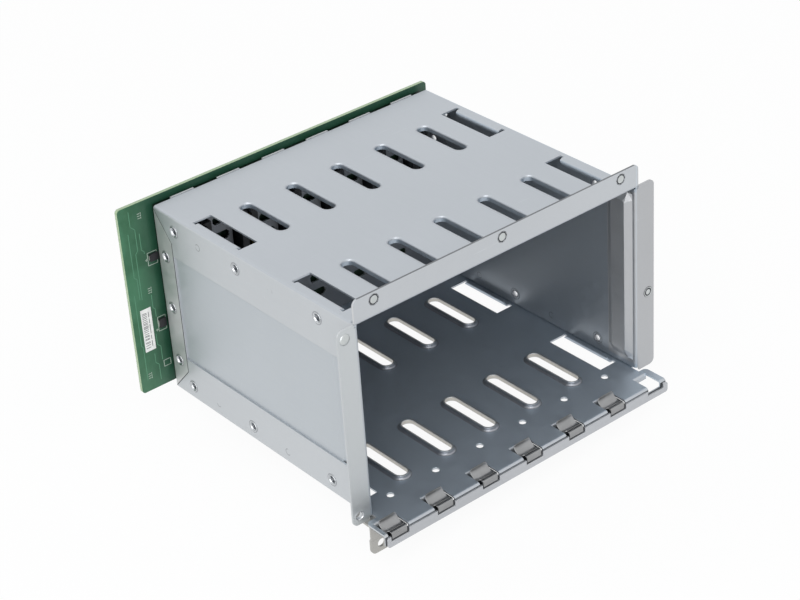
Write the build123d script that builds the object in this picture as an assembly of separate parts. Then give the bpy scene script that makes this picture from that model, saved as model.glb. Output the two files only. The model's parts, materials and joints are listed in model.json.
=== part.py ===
from build123d import *
import os

os.makedirs("parts", exist_ok=True)

# Frame: X across the bays, Y from the front flanges to the back, Z up; all sizes in millimetres.
# The origin is on the underside of the floor, on the middle bay line, in the front flange plane.

# Sides of round shapes that repeat often
SMALL_ROUND_SIDES = 8
LARGE_ROUND_SIDES = 16

# Bays and sheet
BAY_COUNT = 6
BAY_PITCH = 28.6
SIDE_MARGIN = 3.7
CAGE_DEPTH = 159.4
CAGE_HEIGHT = 107.4
SHEET = 1.0
BEND_INSIDE = 0.6
EDGE_SEAM = 0.2

# Rolled slots that guide the drives
SLOT_WIDTH = 7.0
SLOT_LENGTH = 35.0
SLOT_FRONT_Y = 30.1
SLOT_REAR_Y = 109.4
RIM_WALL = 0.8
RIM_DEPTH = 2.8
RIM_ROLL = 0.75
RIM_MARGIN = 1.5

# Cut-outs beside the outer bays, each with a folded guide tab
END_CUT_WIDTH = 11.0
END_CUT_LENGTH = 38.0
END_CUT_INSET = 1.9
END_CUT_FRONT_Y = 31.8
END_CUT_REAR_Y = 110.8
END_TAB_STEP = 3.0
END_TAB_BEND = 1.7
END_TAB_RELIEF = 2.4
END_TAB_CORNER = 1.6

# Side flanges and their mitre with the rear panel
TOP_FLANGE_DROP = 23.9
FLOOR_FLANGE_RISE = 23.0
MITRE_REACH = 13.9
MITRE_TOP_DROP = 16.4
MITRE_LOW_RISE = 15.0
FLANGE_START = 3.4
CORNER_SLIT = 1.2

# Upturned flange above the bays
BROW_HEIGHT = 12.3
BROW_CORNER = 3.0

# Side panels and their front flanges
SIDE_REAR_GAP = 1.0
LEFT_FLANGE_REACH = 10.1
RIGHT_FLANGE_REACH = 10.8
FLANGE_CORNER = 3.0
FLANGE_HOLE = 3.7
FLANGE_HOLE_INSET = 4.1
FLANGE_HOLE_Z = 4.8
FLANGE_HOLE_FLARE = 0.5
COLLAR_WALL = 0.7
COLLAR_DEPTH = 1.2

# Embossed bands
BAND_FRONT_Y = 2.0
BAND_REAR_Y = 19.3
BAND_LOW_Z = 6.4
BAND_TOP_DROP = 5.2
BAND_DEPTH = 2.2
BAND_CORNER = 3.0
BAND_CREST_CORNER = 1.0
BAND_SLOPE = 4.0

# Shelf in front of the floor
SHELF_REACH = 16.5
SHELF_WING_Y = 2.2
SHELF_LEFT = 94.0
SHELF_RIGHT = 92.0
SHELF_CORNER = 2.5
LIP_DROP = 5.0
FLOOR_HOLE = 4.0
FLOOR_HOLE_Y = 6.7

# Clip windows
WINDOW_WIDTH = 12.6
WINDOW_REAR = 6.3
WINDOW_FLAP_DROP = 2.0
WINDOW_CUT_DEPTH = 2.4
SPARE_WINDOW_WIDTH = 8.8
SPARE_WINDOW_SHIFT = -1.9
SADDLE_WIDTH = 7.0
SADDLE_TOP = 0.7

# Rail along the lip
RAIL_THICKNESS = 1.0
RAIL_TOP_GAP = 0.3
RAIL_HEIGHT = 5.7
RAIL_LEFT = 93.5
RAIL_RIGHT = 92.5
RAIL_CORNER = 1.5
NOTCH_WIDTH = 11.0
NOTCH_DEPTH = 2.5

# Spring clips
CLIP_THICKNESS = 0.5
CLIP_BEND = 0.5
CLIP_WIDTH = 9.2
CLIP_PLATE_DROP = 2.2
CLIP_FIT = 0.05
LEAF_WIDTH = 8.2
LEAF_GAP = 0.3
LEAF_TROUGH_Z = -0.7
LEAF_CREST_Z = 1.0
LEAF_TIP_Z = 4.0
LEAF_REACH = 6.8
LEAF_FALL = 0.22
LEAF_FLAT = 0.52
LEAF_RISE = 0.92
LEAF_TIP_CHAMFER = 0.9

# Mounting ear
EAR_WIDTH = 12.4
EAR_LEFT = 93.4
EAR_THICKNESS = 1.2
EAR_BEND = 0.8
EAR_FACE = 5.0
EAR_DROP = 17.5
EAR_STEP_DROP = 8.7
EAR_STEP = 0.8
EAR_FOOT = 14.0
EAR_CORNER = 3.0
EAR_HOLE = 4.5
EAR_HOLE_DROP = 12.9

# Flared eyelets in the sides, discs and rivets in the front flanges
EYELET_BORE = 3.6
EYELET_FLARE = 4.8
EYELET_FLARE_DEPTH = 0.6
RIVET_SHANK = 4.4
RIVET_HEAD = 5.8
RIVET_RISE = 0.3
RIVET_FIT = 0.02
DISC = 5.6
TOP_ROW_DROP = 8.4
LOW_ROW_Z = 8.0
ROW_FRONT_Y = 28.0
ROW_MIDDLE_Y = 91.0
ROW_REAR_INSET = 17.4
REAR_COLUMN_INSET = 7.0
REAR_COLUMN_LOW_Z = 19.4
REAR_COLUMN_MIDDLE_Z = 50.8
REAR_COLUMN_DROP = 26.7
BROW_DISC_X = 77.5
BROW_DISC_DROP = 4.0
LEFT_FLANGE_RIVET_DROP = 5.0
RIGHT_FLANGE_RIVET_Z = 44.1
FLANGE_RIVET_INSET = 4.2

# Rear panel openings
CONNECTOR_Z = 68.7
CONNECTOR_SHIFT = 5.4
OPENING_WIDTH = 14.2
OPENING_HEIGHT = 46.0
VENT_WIDTH = 9.3
VENT_HEIGHT = 5.0
VENT_CORNER = 1.4
VENT_ROWS = 8
VENT_ROW_PITCH = 9.8
VENT_LOW_Z = 15.9
VENT_FROM_SLOT = 5.9
REAR_TAB = 14.0
REAR_TAB_RISE = 0.3
REAR_GAP_DROP = 1.5

# Backplane board
BOARD_GAP = 3.0
BOARD_THICKNESS = 2.0
BOARD_LEFT = 108.0
BOARD_RIGHT = 92.0
BOARD_LOW_Z = 2.2
BOARD_TOP_RISE = 2.6
BOARD_CORNER = 2.0
STANDOFF = 6.0
STANDOFF_BAYS = (0, 2, 3, 5)
STANDOFF_LOW_Z = 21.0
STANDOFF_TOP_DROP = 7.9
SCREW_SHANK = 3.0
SCREW_HEAD = 5.6
SCREW_HEAD_RISE = 2.0
SCREW_DEPTH = 2.6

# Drive connectors
CONNECTOR_LENGTH = 42.0
CONNECTOR_WIDTH = 10.6
CONNECTOR_DEPTH = 10.4
TONGUE_LENGTH = 33.4
TONGUE_WIDTH = 3.0
TONGUE_DEPTH = 6.5
POST_SIZE = 2.6
POST_REACH = 3.0
POST_INSET = 2.1
POST_TIP = 0.6
CONTACT_COUNT = 15
CONTACT_PITCH = 2.1
CONTACT_WIDTH = 1.1
CONTACT_THICKNESS = 0.3
CONTACT_LENGTH = 5.0

# Parts on the board
LABEL_WIDTH = 6.3
LABEL_HEIGHT = 24.9
LABEL_THICKNESS = 0.15
LABEL_X = -99.7
LABEL_Z = 37.8
CHIP_LONG = 4.9
CHIP_SHORT = 3.9
CHIP_THICKNESS = 1.5
UPPER_CHIP_X = -90.9
UPPER_CHIP_Z = 77.7
LOWER_CHIP_X = -91.0
LOWER_CHIP_Z = 38.9
CONTROLLER = 16.0
CONTROLLER_THICKNESS = 1.6
CONTROLLER_Z = 56.0
MEMORY_WIDTH = 6.0
MEMORY_HEIGHT = 8.0
MEMORY_Z = 84.0
POWER_X = -57.2
POWER_WAYS = 5
POWER_PITCH = 4.2
POWER_WALL = 1.4
POWER_DEPTH = 12.8
POWER_SOCKET = 3.1
DATA_X = (28.6, 57.2)
DATA_WIDTH = 22.0
DATA_HEIGHT = 8.0
DATA_DEPTH = 12.0
DATA_WALL = 0.6
DATA_TONGUE_WIDTH = 15.0
DATA_TONGUE_HEIGHT = 1.6
HEADER_X = 0.0
HEADER_WAYS = 4
HEADER_PITCH = 2.54
HEADER_DEPTH = 8.5
HEADER_WALL = 0.9
PIN_SIZE = 0.64
PIN_LENGTH = 6.0
REAR_ROW_Z = 14.0
CAPACITOR_COUNT = 3
CAPACITOR = 6.3
CAPACITOR_HEIGHT = 7.0
CAPACITOR_PITCH = 9.0

# Values that follow from those above
CAGE_WIDTH = BAY_COUNT * BAY_PITCH + 2 * SIDE_MARGIN
HALF_WIDTH = CAGE_WIDTH / 2
SIDE_FACE = HALF_WIDTH - SHEET
INNER_HALF = SIDE_FACE - SHEET
BEND = BEND_INSIDE + SHEET / 2
BEND_OUTSIDE = BEND_INSIDE + SHEET
PLATE_HALF = HALF_WIDTH - BEND_OUTSIDE
PLATE_REAR = CAGE_DEPTH - SHEET - EDGE_SEAM
LIP_FACE = -SHELF_REACH
LIP_BACK = LIP_FACE + SHEET
CLIP_Z = SADDLE_TOP + CLIP_FIT + CLIP_THICKNESS / 2
HINGE_Y = LIP_BACK + CLIP_THICKNESS / 2 + LEAF_GAP
BOARD_FRONT = CAGE_DEPTH + BOARD_GAP
BOARD_BACK = BOARD_FRONT + BOARD_THICKNESS
CONNECTOR_FRONT = BOARD_FRONT - CONNECTOR_DEPTH
BAY_EDGES = [(i - BAY_COUNT / 2) * BAY_PITCH for i in range(BAY_COUNT + 1)]
BAY_CENTRES = [edge + BAY_PITCH / 2 for edge in BAY_EDGES[:-1]]
SPARE_WINDOW_X = BAY_EDGES[-1] + SPARE_WINDOW_SHIFT
CONNECTOR_X = [centre + CONNECTOR_SHIFT for centre in BAY_CENTRES]
BOARD_HIGH_Z = CAGE_HEIGHT + BOARD_TOP_RISE
LEFT = -1
RIGHT = 1


def block(x0, x1, y0, y1, z0, z1):
    """Box given by its limits on each axis."""
    return Pos((x0 + x1) / 2, (y0 + y1) / 2, (z0 + z1) / 2) * Box(abs(x1 - x0), y1 - y0, z1 - z0)


def bent_sheet(points, thickness=SHEET, bend=BEND):
    """Section of a sheet of even thickness along a centreline with round bends."""
    return trace(FilletPolyline(*points, radius=bend), line_width=thickness)


def along_x(section, x0, x1):
    """Solid across X of a section drawn in Y and Z."""
    return extrude(Plane.YZ.offset(x0) * section, amount=x1 - x0)


def along_y(section, y0, y1):
    """Solid along Y of a section drawn in X and Z."""
    return extrude(Plane.XZ.offset(-y1) * section, amount=y1 - y0)


def along_z(section, z0, z1):
    """Solid up Z of a section drawn in X and Y."""
    return extrude(Pos(0, 0, z0) * section, amount=z1 - z0)


def polygon(*points):
    """Flat face with straight edges through the given points."""
    return make_face(Polyline(*points, close=True))


def small_round(diameter):
    """Outline of a small round hole or shank, with few sides because it repeats often."""
    return RegularPolygon(diameter / 2, SMALL_ROUND_SIDES)


def slot_outline(grow):
    """Outline of a guide slot along Y, larger all round by the given amount."""
    end = RegularPolygon(SLOT_WIDTH / 2 + grow, LARGE_ROUND_SIDES)
    reach = (SLOT_LENGTH - SLOT_WIDTH) / 2
    return make_hull((Pos(0, reach) * end).edges() + (Pos(0, -reach) * end).edges())


def slot_patch_outline():
    """Rectangle of sheet that holds one rolled slot."""
    margin = RIM_WALL + RIM_MARGIN
    return Rectangle(SLOT_WIDTH + 2 * margin, SLOT_LENGTH + 2 * margin)


def rolled_slot():
    """Patch of sheet with a slot whose edge is rolled down into a collar; its top is at Z 0."""
    patch = along_z(slot_patch_outline(), -SHEET, 0)
    patch += along_z(slot_outline(RIM_WALL), -RIM_DEPTH, 0)
    patch -= along_z(slot_outline(0), -RIM_DEPTH, 0)
    half_width = SLOT_WIDTH / 2 + RIM_WALL
    half_length = SLOT_LENGTH / 2 + RIM_WALL
    mouth = [
        edge
        for edge in patch.edges().group_by(Axis.Z)[-1]
        if abs(edge.center().X) < half_width and abs(edge.center().Y) < half_length
    ]
    return chamfer(mouth, length=RIM_ROLL)


def guide_cut(side, y):
    """Cut-out beside an outer bay and the guide tab folded down from its outer side."""
    outer = side * (INNER_HALF - END_CUT_INSET)
    inner = outer - side * END_CUT_WIDTH
    half = END_CUT_LENGTH / 2
    cut = block(inner, outer, y - half, y + half, -SHEET, 0)
    tab_x = outer - side * (END_TAB_STEP - SHEET / 2)
    section = bent_sheet(
        [(side * PLATE_HALF, -SHEET / 2), (tab_x, -SHEET / 2), (tab_x, -RIM_DEPTH)], SHEET, END_TAB_BEND
    )
    tab = along_y(section, y - half + END_TAB_RELIEF, y + half - END_TAB_RELIEF)
    corners = tab.edges().filter_by(Axis.X).group_by(Axis.Z)[0]
    return cut, chamfer(corners, length=END_TAB_CORNER)


def guide_pattern(sheet):
    """Sheet whose top is at Z 0, with every guide slot and cut-out pressed into it."""
    slot = rolled_slot()
    for y in (SLOT_FRONT_Y, SLOT_REAR_Y):
        for x in BAY_EDGES[1:-1]:
            sheet -= Pos(x, y, 0) * along_z(slot_patch_outline(), -SHEET, 0)
            sheet += Pos(x, y, 0) * slot
    for y in (END_CUT_FRONT_Y, END_CUT_REAR_Y):
        for side in (LEFT, RIGHT):
            cut, tab = guide_cut(side, y)
            sheet -= cut
            sheet += tab
    return sheet


def channel(depth):
    """Folded sheet with its top at Z 0 and a flange of the given depth down each side."""
    x = HALF_WIDTH - SHEET / 2
    section = bent_sheet([(-x, -depth), (-x, -SHEET / 2), (x, -SHEET / 2), (x, -depth)])
    return along_y(section, FLANGE_START, PLATE_REAR)


def mitre_cutter(side):
    """Space behind the mitre line of one side, which belongs to the rear panel's flange."""
    line = CAGE_DEPTH - EDGE_SEAM
    outline = polygon(
        (line, 0),
        (line - MITRE_REACH, MITRE_LOW_RISE),
        (line - MITRE_REACH, CAGE_HEIGHT - MITRE_TOP_DROP),
        (line, CAGE_HEIGHT),
        (line + MITRE_REACH, CAGE_HEIGHT),
        (line + MITRE_REACH, 0),
    )
    x0, x1 = sorted((side * PLATE_HALF, side * (HALF_WIDTH + SHEET)))
    return along_x(outline, x0, x1)


def rivet_spots():
    """Y and Z of the nine rivets in each side."""
    row_y = (ROW_FRONT_Y, ROW_MIDDLE_Y, CAGE_DEPTH - ROW_REAR_INSET)
    rows = [(y, z) for z in (CAGE_HEIGHT - TOP_ROW_DROP, LOW_ROW_Z) for y in row_y]
    column_z = (REAR_COLUMN_LOW_Z, REAR_COLUMN_MIDDLE_Z, CAGE_HEIGHT - REAR_COLUMN_DROP)
    return rows + [(CAGE_DEPTH - REAR_COLUMN_INSET, z) for z in column_z]


def side_holes():
    """Holes for the side rivets, through flanges and side panels on both sides."""
    hole = small_round(RIVET_SHANK + 2 * RIVET_FIT)
    drills = [Pos(y, z) * hole for y, z in rivet_spots()]
    reach = HALF_WIDTH + SHEET
    return along_x(Sketch() + drills, -reach, -PLATE_HALF + SHEET) + along_x(
        Sketch() + drills, PLATE_HALF - SHEET, reach
    )


def front_hole(x, z, diameter):
    """Hole through a front flange for a disc or shank of the given diameter."""
    return along_y(Pos(x, z) * small_round(diameter + 2 * RIVET_FIT), -SHEET, 2 * SHEET)


def brow():
    """Flange that rises from the front edge of the top panel, with rounded corners."""
    top = CAGE_HEIGHT + BROW_HEIGHT
    mid = CAGE_HEIGHT - SHEET / 2
    section = bent_sheet([(FLANGE_START, mid), (SHEET / 2, mid), (SHEET / 2, top)])
    flange = along_x(section, -HALF_WIDTH, HALF_WIDTH)
    flange = fillet(flange.edges().filter_by(Axis.Y).group_by(Axis.Z)[-1], radius=BROW_CORNER)
    for x in (-BROW_DISC_X, 0, BROW_DISC_X):
        flange -= front_hole(x, top - BROW_DISC_DROP, DISC)
    for side in (LEFT, RIGHT):
        x0, x1 = sorted((side * PLATE_HALF, side * (HALF_WIDTH + SHEET)))
        flange -= block(x0, x1, FLANGE_START - CORNER_SLIT, FLANGE_START, CAGE_HEIGHT - SHEET, CAGE_HEIGHT)
    return flange


def top_panel():
    """Top sheet with guide slots, side flanges and the upturned front flange."""
    panel = Pos(0, 0, CAGE_HEIGHT) * guide_pattern(channel(TOP_FLANGE_DROP))
    for side in (LEFT, RIGHT):
        panel -= mitre_cutter(side)
    return panel + brow() - side_holes()


def shelf():
    """Shelf in front of the floor, with its down-turned lip."""
    section = bent_sheet([
        (LIP_FACE + SHEET / 2, -LIP_DROP),
        (LIP_FACE + SHEET / 2, SHEET / 2),
        (-SHELF_WING_Y, SHEET / 2),
    ])
    plate = along_x(section, -SHELF_LEFT, SHELF_RIGHT)
    corners = plate.edges().filter_by(Axis.Z).group_by(Axis.Y)[-1]
    plate = fillet(corners, radius=SHELF_CORNER)
    throat = INNER_HALF - EDGE_SEAM
    return plate + block(-throat, throat, -SHELF_WING_Y - SHEET, FLANGE_START, 0, SHEET)


def window(x, width, has_saddle):
    """Clip window: the space it opens, and the flap and saddle left in it."""
    rear = -WINDOW_REAR
    cut = block(x - width / 2, x + width / 2, LIP_FACE - SHEET, rear + BEND_OUTSIDE, -WINDOW_CUT_DEPTH, SHEET)
    section = bent_sheet([
        (rear + SHEET / 2, -WINDOW_FLAP_DROP),
        (rear + SHEET / 2, SHEET / 2),
        (rear + 2 * BEND_OUTSIDE, SHEET / 2),
    ])
    kept = along_x(section, x - width / 2, x + width / 2)
    if has_saddle:
        half = SADDLE_WIDTH / 2
        saddle = block(x - half, x + half, LIP_FACE, LIP_BACK, -WINDOW_CUT_DEPTH, SADDLE_TOP)
        edge = saddle.edges().filter_by(Axis.X).group_by(Axis.Z)[-1].sort_by(Axis.Y)[0]
        kept += chamfer(edge, length=CLIP_BEND)
    return cut, kept


def bottom_panel():
    """Floor with guide slots, side flanges, front shelf and clip windows."""
    floor = mirror(guide_pattern(channel(FLOOR_FLANGE_RISE)), about=Plane.XY)
    for side in (LEFT, RIGHT):
        floor -= mitre_cutter(side)
    floor += shelf()
    for x in BAY_CENTRES:
        floor -= along_z(Pos(x, FLOOR_HOLE_Y) * small_round(FLOOR_HOLE), -SHEET, 2 * SHEET)
    for x in BAY_EDGES[:-1]:
        cut, kept = window(x, WINDOW_WIDTH, True)
        floor = floor - cut + kept
    cut, kept = window(SPARE_WINDOW_X, SPARE_WINDOW_WIDTH, False)
    floor = floor - cut + kept
    return floor - side_holes()


def embossed_band(side, depth):
    """Sloped pad as long as the embossed band, from the given depth inward."""
    width = BAND_REAR_Y - BAND_FRONT_Y
    height = CAGE_HEIGHT - BAND_TOP_DROP - BAND_LOW_Z
    base = chamfer(Rectangle(width, height).vertices(), length=BAND_CORNER)
    crest = Rectangle(width - 2 * BAND_SLOPE, height - 2 * BAND_SLOPE)
    crest = chamfer(crest.vertices(), length=BAND_CREST_CORNER)
    pad = loft([base, Pos(0, 0, BAND_DEPTH) * crest], ruled=True)
    centre = (side * (SIDE_FACE - depth), BAND_FRONT_Y + width / 2, BAND_LOW_Z + height / 2)
    return Plane(centre, x_dir=(0, 1, 0), z_dir=(-side, 0, 0)) * pad


def side_panel(side, reach):
    """Side sheet with an embossed band and a front flange folded outward."""
    wall = side * (SIDE_FACE - SHEET / 2)
    edge = side * (HALF_WIDTH + reach)
    section = bent_sheet([(wall, PLATE_REAR - SIDE_REAR_GAP), (wall, SHEET / 2), (edge, SHEET / 2)])
    panel = along_z(section, BEND_OUTSIDE, CAGE_HEIGHT - BEND_OUTSIDE)
    x0, x1 = sorted((side * (HALF_WIDTH + EDGE_SEAM), edge))
    panel += block(x0, x1, 0, SHEET, 0, CAGE_HEIGHT)
    corners = panel.edges().filter_by(Axis.Y).sort_by(Axis.X)
    panel = fillet(corners[:2] if side < 0 else corners[-2:], radius=FLANGE_CORNER)
    panel += embossed_band(side, SHEET)
    panel -= embossed_band(side, 0)
    return panel - side_holes()


def flange_collar(x, z):
    """Rolled collar behind the left flange's screw hole, and the hole with its flare."""
    radius = FLANGE_HOLE / 2
    spot = Pos(x, z)
    collar = along_y(spot * Circle(radius + COLLAR_WALL), 0, SHEET + COLLAR_DEPTH)
    hole = along_y(spot * Circle(radius), -SHEET, SHEET + COLLAR_DEPTH)
    flare = Pos(x, FLANGE_HOLE_FLARE / 2, z) * Rot(90, 0, 0) * Cone(
        radius, radius + FLANGE_HOLE_FLARE, FLANGE_HOLE_FLARE
    )
    return collar, hole + flare


def left_side_panel():
    """Left side panel with a screw hole and a rivet hole in its flange."""
    edge = -(HALF_WIDTH + LEFT_FLANGE_REACH)
    collar, hole = flange_collar(edge + FLANGE_HOLE_INSET, FLANGE_HOLE_Z)
    panel = side_panel(LEFT, LEFT_FLANGE_REACH) + collar - hole
    return panel - front_hole(edge + FLANGE_RIVET_INSET, CAGE_HEIGHT - LEFT_FLANGE_RIVET_DROP, RIVET_SHANK)


def right_side_panel():
    """Right side panel with a rivet hole in its flange."""
    x = HALF_WIDTH + RIGHT_FLANGE_REACH - FLANGE_RIVET_INSET
    return side_panel(RIGHT, RIGHT_FLANGE_REACH) - front_hole(x, RIGHT_FLANGE_RIVET_Z, RIVET_SHANK)


def vent_grid():
    """One column of vents with cut corners in each bay, beside its connector opening."""
    vent = chamfer(Rectangle(VENT_WIDTH, VENT_HEIGHT).vertices(), length=VENT_CORNER)
    rows = [VENT_LOW_Z + i * VENT_ROW_PITCH for i in range(VENT_ROWS)]
    return Sketch() + [Pos(x + VENT_FROM_SLOT, z) * vent for x in BAY_EDGES[:-1] for z in rows]


def connector_openings():
    """Upright openings for the drive connectors."""
    opening = Rectangle(OPENING_WIDTH, OPENING_HEIGHT)
    return Sketch() + [Pos(x, CONNECTOR_Z) * opening for x in CONNECTOR_X]


def rear_tab_gaps():
    """Gaps between the tabs along the rear panel's top edge."""
    low = CAGE_HEIGHT - REAR_GAP_DROP
    high = CAGE_HEIGHT + REAR_TAB_RISE
    tab_edges = [x + side * REAR_TAB / 2 for x in BAY_CENTRES for side in (LEFT, RIGHT)]
    ends = [-HALF_WIDTH] + tab_edges + [HALF_WIDTH]
    gaps = [
        block(ends[i], ends[i + 1], CAGE_DEPTH - BEND_OUTSIDE, CAGE_DEPTH, low, high)
        for i in range(0, len(ends), 2)
    ]
    return Part() + gaps


def standoff_spots():
    """X and Z of the board's standoffs."""
    rows = (STANDOFF_LOW_Z, CAGE_HEIGHT - STANDOFF_TOP_DROP)
    return [(BAY_CENTRES[bay], z) for bay in STANDOFF_BAYS for z in rows]


def rounds_at_standoffs(diameter, y0, y1):
    """Small rounds on the standoff positions."""
    return along_y(Sketch() + [Pos(x, z) * small_round(diameter) for x, z in standoff_spots()], y0, y1)


def rear_panel():
    """Rear sheet with mitred side flanges, vents, connector openings and top tabs."""
    x = HALF_WIDTH - SHEET / 2
    front = CAGE_DEPTH - MITRE_REACH
    mid = CAGE_DEPTH - SHEET / 2
    section = bent_sheet([(-x, front), (-x, mid), (x, mid), (x, front)])
    panel = along_z(section, 0, CAGE_HEIGHT + REAR_TAB_RISE)
    above = polygon(
        (CAGE_DEPTH, CAGE_HEIGHT),
        (front, CAGE_HEIGHT - MITRE_TOP_DROP),
        (front, CAGE_HEIGHT + SHEET),
        (CAGE_DEPTH, CAGE_HEIGHT + SHEET),
    )
    below = polygon((CAGE_DEPTH, 0), (front, MITRE_LOW_RISE), (front, 0))
    for side in (LEFT, RIGHT):
        x0, x1 = sorted((side * PLATE_HALF, side * (HALF_WIDTH + SHEET)))
        panel -= along_x(above, x0, x1) + along_x(below, x0, x1)
    panel -= rear_tab_gaps()
    panel -= along_y(vent_grid() + connector_openings(), CAGE_DEPTH - 2 * SHEET, CAGE_DEPTH + SHEET)
    return panel - side_holes()


def front_rail():
    """Strip along the lip, cut down at each window."""
    mid_z = -RAIL_TOP_GAP - RAIL_HEIGHT / 2
    centre = (RAIL_RIGHT - RAIL_LEFT) / 2
    face = Pos(centre, mid_z) * RectangleRounded(RAIL_LEFT + RAIL_RIGHT, RAIL_HEIGHT, RAIL_CORNER)
    notch = Rectangle(NOTCH_WIDTH, 2 * NOTCH_DEPTH)
    for x in BAY_EDGES[:-1] + [SPARE_WINDOW_X]:
        face -= Pos(x, -RAIL_TOP_GAP) * notch
    return along_y(face, LIP_FACE - RAIL_THICKNESS, LIP_FACE)


def clip_hook(x):
    """Fixed part of a spring clip: front plate and the fold over the saddle."""
    plate_y = LIP_FACE - CLIP_THICKNESS / 2
    end = HINGE_Y - CLIP_THICKNESS / 2 - LEAF_GAP
    points = [(plate_y, -CLIP_PLATE_DROP), (plate_y, CLIP_Z), (end, CLIP_Z)]
    section = bent_sheet(points, CLIP_THICKNESS, CLIP_BEND)
    return along_x(section, x - CLIP_WIDTH / 2, x + CLIP_WIDTH / 2)


def clip_leaf(x):
    """Springing part of a clip: down into the window, back up and turned up at the tip."""
    tip_y = HINGE_Y + LEAF_REACH
    points = [
        (HINGE_Y, CLIP_Z),
        (HINGE_Y + LEAF_FALL * LEAF_REACH, LEAF_TROUGH_Z),
        (HINGE_Y + LEAF_FLAT * LEAF_REACH, LEAF_TROUGH_Z),
        (HINGE_Y + LEAF_RISE * LEAF_REACH, LEAF_CREST_Z),
        (tip_y, LEAF_TIP_Z),
    ]
    half = LEAF_WIDTH / 2
    leaf = along_x(bent_sheet(points, CLIP_THICKNESS, CLIP_BEND), x - half, x + half)
    shoulder = LEAF_TIP_Z - LEAF_TIP_CHAMFER
    neck = half - LEAF_TIP_CHAMFER
    floor = LEAF_TROUGH_Z - CLIP_THICKNESS
    crown = LEAF_TIP_Z + CLIP_THICKNESS
    front = polygon(
        (x - half, floor), (x - half, shoulder), (x - neck, LEAF_TIP_Z), (x - neck, crown),
        (x + neck, crown), (x + neck, LEAF_TIP_Z), (x + half, shoulder), (x + half, floor),
    )
    return leaf & along_y(front, HINGE_Y - CLIP_THICKNESS, tip_y + CLIP_THICKNESS)


def mounting_ear():
    """Bracket below the shelf's left end, with a joggle and a screw hole."""
    face = -EAR_FACE + EAR_THICKNESS / 2
    back = face + EAR_STEP
    foot_z = -EAR_THICKNESS / 2
    section = bent_sheet([
        (back, -EAR_DROP),
        (back, -EAR_STEP_DROP - EAR_STEP / 2),
        (face, -EAR_STEP_DROP + EAR_STEP / 2),
        (face, foot_z),
        (face + EAR_FOOT, foot_z),
    ], EAR_THICKNESS, EAR_BEND)
    ear = along_x(section, -EAR_LEFT, -EAR_LEFT + EAR_WIDTH)
    ear = fillet(ear.edges().filter_by(Axis.Y).group_by(Axis.Z)[0], radius=EAR_CORNER)
    hole = Pos(-EAR_LEFT + EAR_WIDTH / 2, -EAR_HOLE_DROP) * Circle(EAR_HOLE / 2)
    return ear - along_y(hole, face - EAR_THICKNESS, back + EAR_THICKNESS)


def cone_frustum(low, low_z, high, high_z):
    """Piece of a cone up Z, with few sides, between two diameters."""
    return loft([Pos(0, 0, low_z) * small_round(low), Pos(0, 0, high_z) * small_round(high)], ruled=True)


def rivet(grip):
    """Low rivet along Z: head above Z 0 and shank down through the sheets."""
    head = cone_frustum(RIVET_HEAD, 0, RIVET_HEAD - 2 * RIVET_RISE, RIVET_RISE)
    return head + along_z(small_round(RIVET_SHANK), -grip, 0)


def eyelet(grip):
    """Hollow rivet along Z whose mouth is flared open."""
    flare = cone_frustum(EYELET_BORE, RIVET_RISE - EYELET_FLARE_DEPTH, EYELET_FLARE, RIVET_RISE)
    return rivet(grip) - along_z(small_round(EYELET_BORE), -grip, RIVET_RISE) - flare


def side_rivets(side):
    """Nine eyelets that hold one side together."""
    one = eyelet(2 * SHEET)
    seats = [Plane((side * HALF_WIDTH, y, z), x_dir=(0, 1, 0), z_dir=(side, 0, 0)) for y, z in rivet_spots()]
    return Part() + [seat * one for seat in seats]


def front_rivet(x, z):
    """Rivet set in a front flange with its head forward."""
    return Pos(x, 0, z) * Rot(90, 0, 0) * rivet(SHEET)


def backplane_board():
    """Circuit board behind the rear panel."""
    centre_x = (BOARD_RIGHT - BOARD_LEFT) / 2
    centre_z = (BOARD_LOW_Z + BOARD_HIGH_Z) / 2
    outline = RectangleRounded(BOARD_LEFT + BOARD_RIGHT, BOARD_HIGH_Z - BOARD_LOW_Z, BOARD_CORNER)
    board = along_y(Pos(centre_x, centre_z) * outline, BOARD_FRONT, BOARD_BACK)
    return board - rounds_at_standoffs(SCREW_SHANK + 2 * RIVET_FIT, BOARD_FRONT - SHEET, BOARD_BACK + SHEET)


def board_standoffs():
    """Hexagonal standoffs between the rear panel and the board."""
    hexagon = RegularPolygon(STANDOFF / 2, 6, major_radius=False)
    bodies = along_y(Sketch() + [Pos(x, z) * hexagon for x, z in standoff_spots()], CAGE_DEPTH, BOARD_FRONT)
    return bodies - rounds_at_standoffs(SCREW_SHANK + 2 * RIVET_FIT, CAGE_DEPTH, BOARD_FRONT)


def board_screws():
    """Pan head screws that hold the board to its standoffs."""
    heads = rounds_at_standoffs(SCREW_HEAD, BOARD_BACK, BOARD_BACK + SCREW_HEAD_RISE)
    return heads + rounds_at_standoffs(SCREW_SHANK, BOARD_FRONT - SCREW_DEPTH, BOARD_BACK)


def drive_connector(x):
    """Upright docking connector with a tongue slot and two guide posts."""
    outline = Pos(x, CONNECTOR_Z) * Rectangle(CONNECTOR_WIDTH, CONNECTOR_LENGTH)
    body = along_y(outline, CONNECTOR_FRONT, BOARD_FRONT)
    slot = Pos(x, CONNECTOR_Z) * Rectangle(TONGUE_WIDTH, TONGUE_LENGTH)
    body -= along_y(slot, CONNECTOR_FRONT, CONNECTOR_FRONT + TONGUE_DEPTH)
    post = Pos(0, -POST_REACH / 2, 0) * Box(POST_SIZE, POST_REACH, POST_SIZE)
    post = chamfer(post.edges().group_by(Axis.Y)[0], length=POST_TIP)
    for side in (LEFT, RIGHT):
        body += Pos(x, CONNECTOR_FRONT, CONNECTOR_Z + side * (CONNECTOR_LENGTH / 2 - POST_INSET)) * post
    return body


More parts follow.
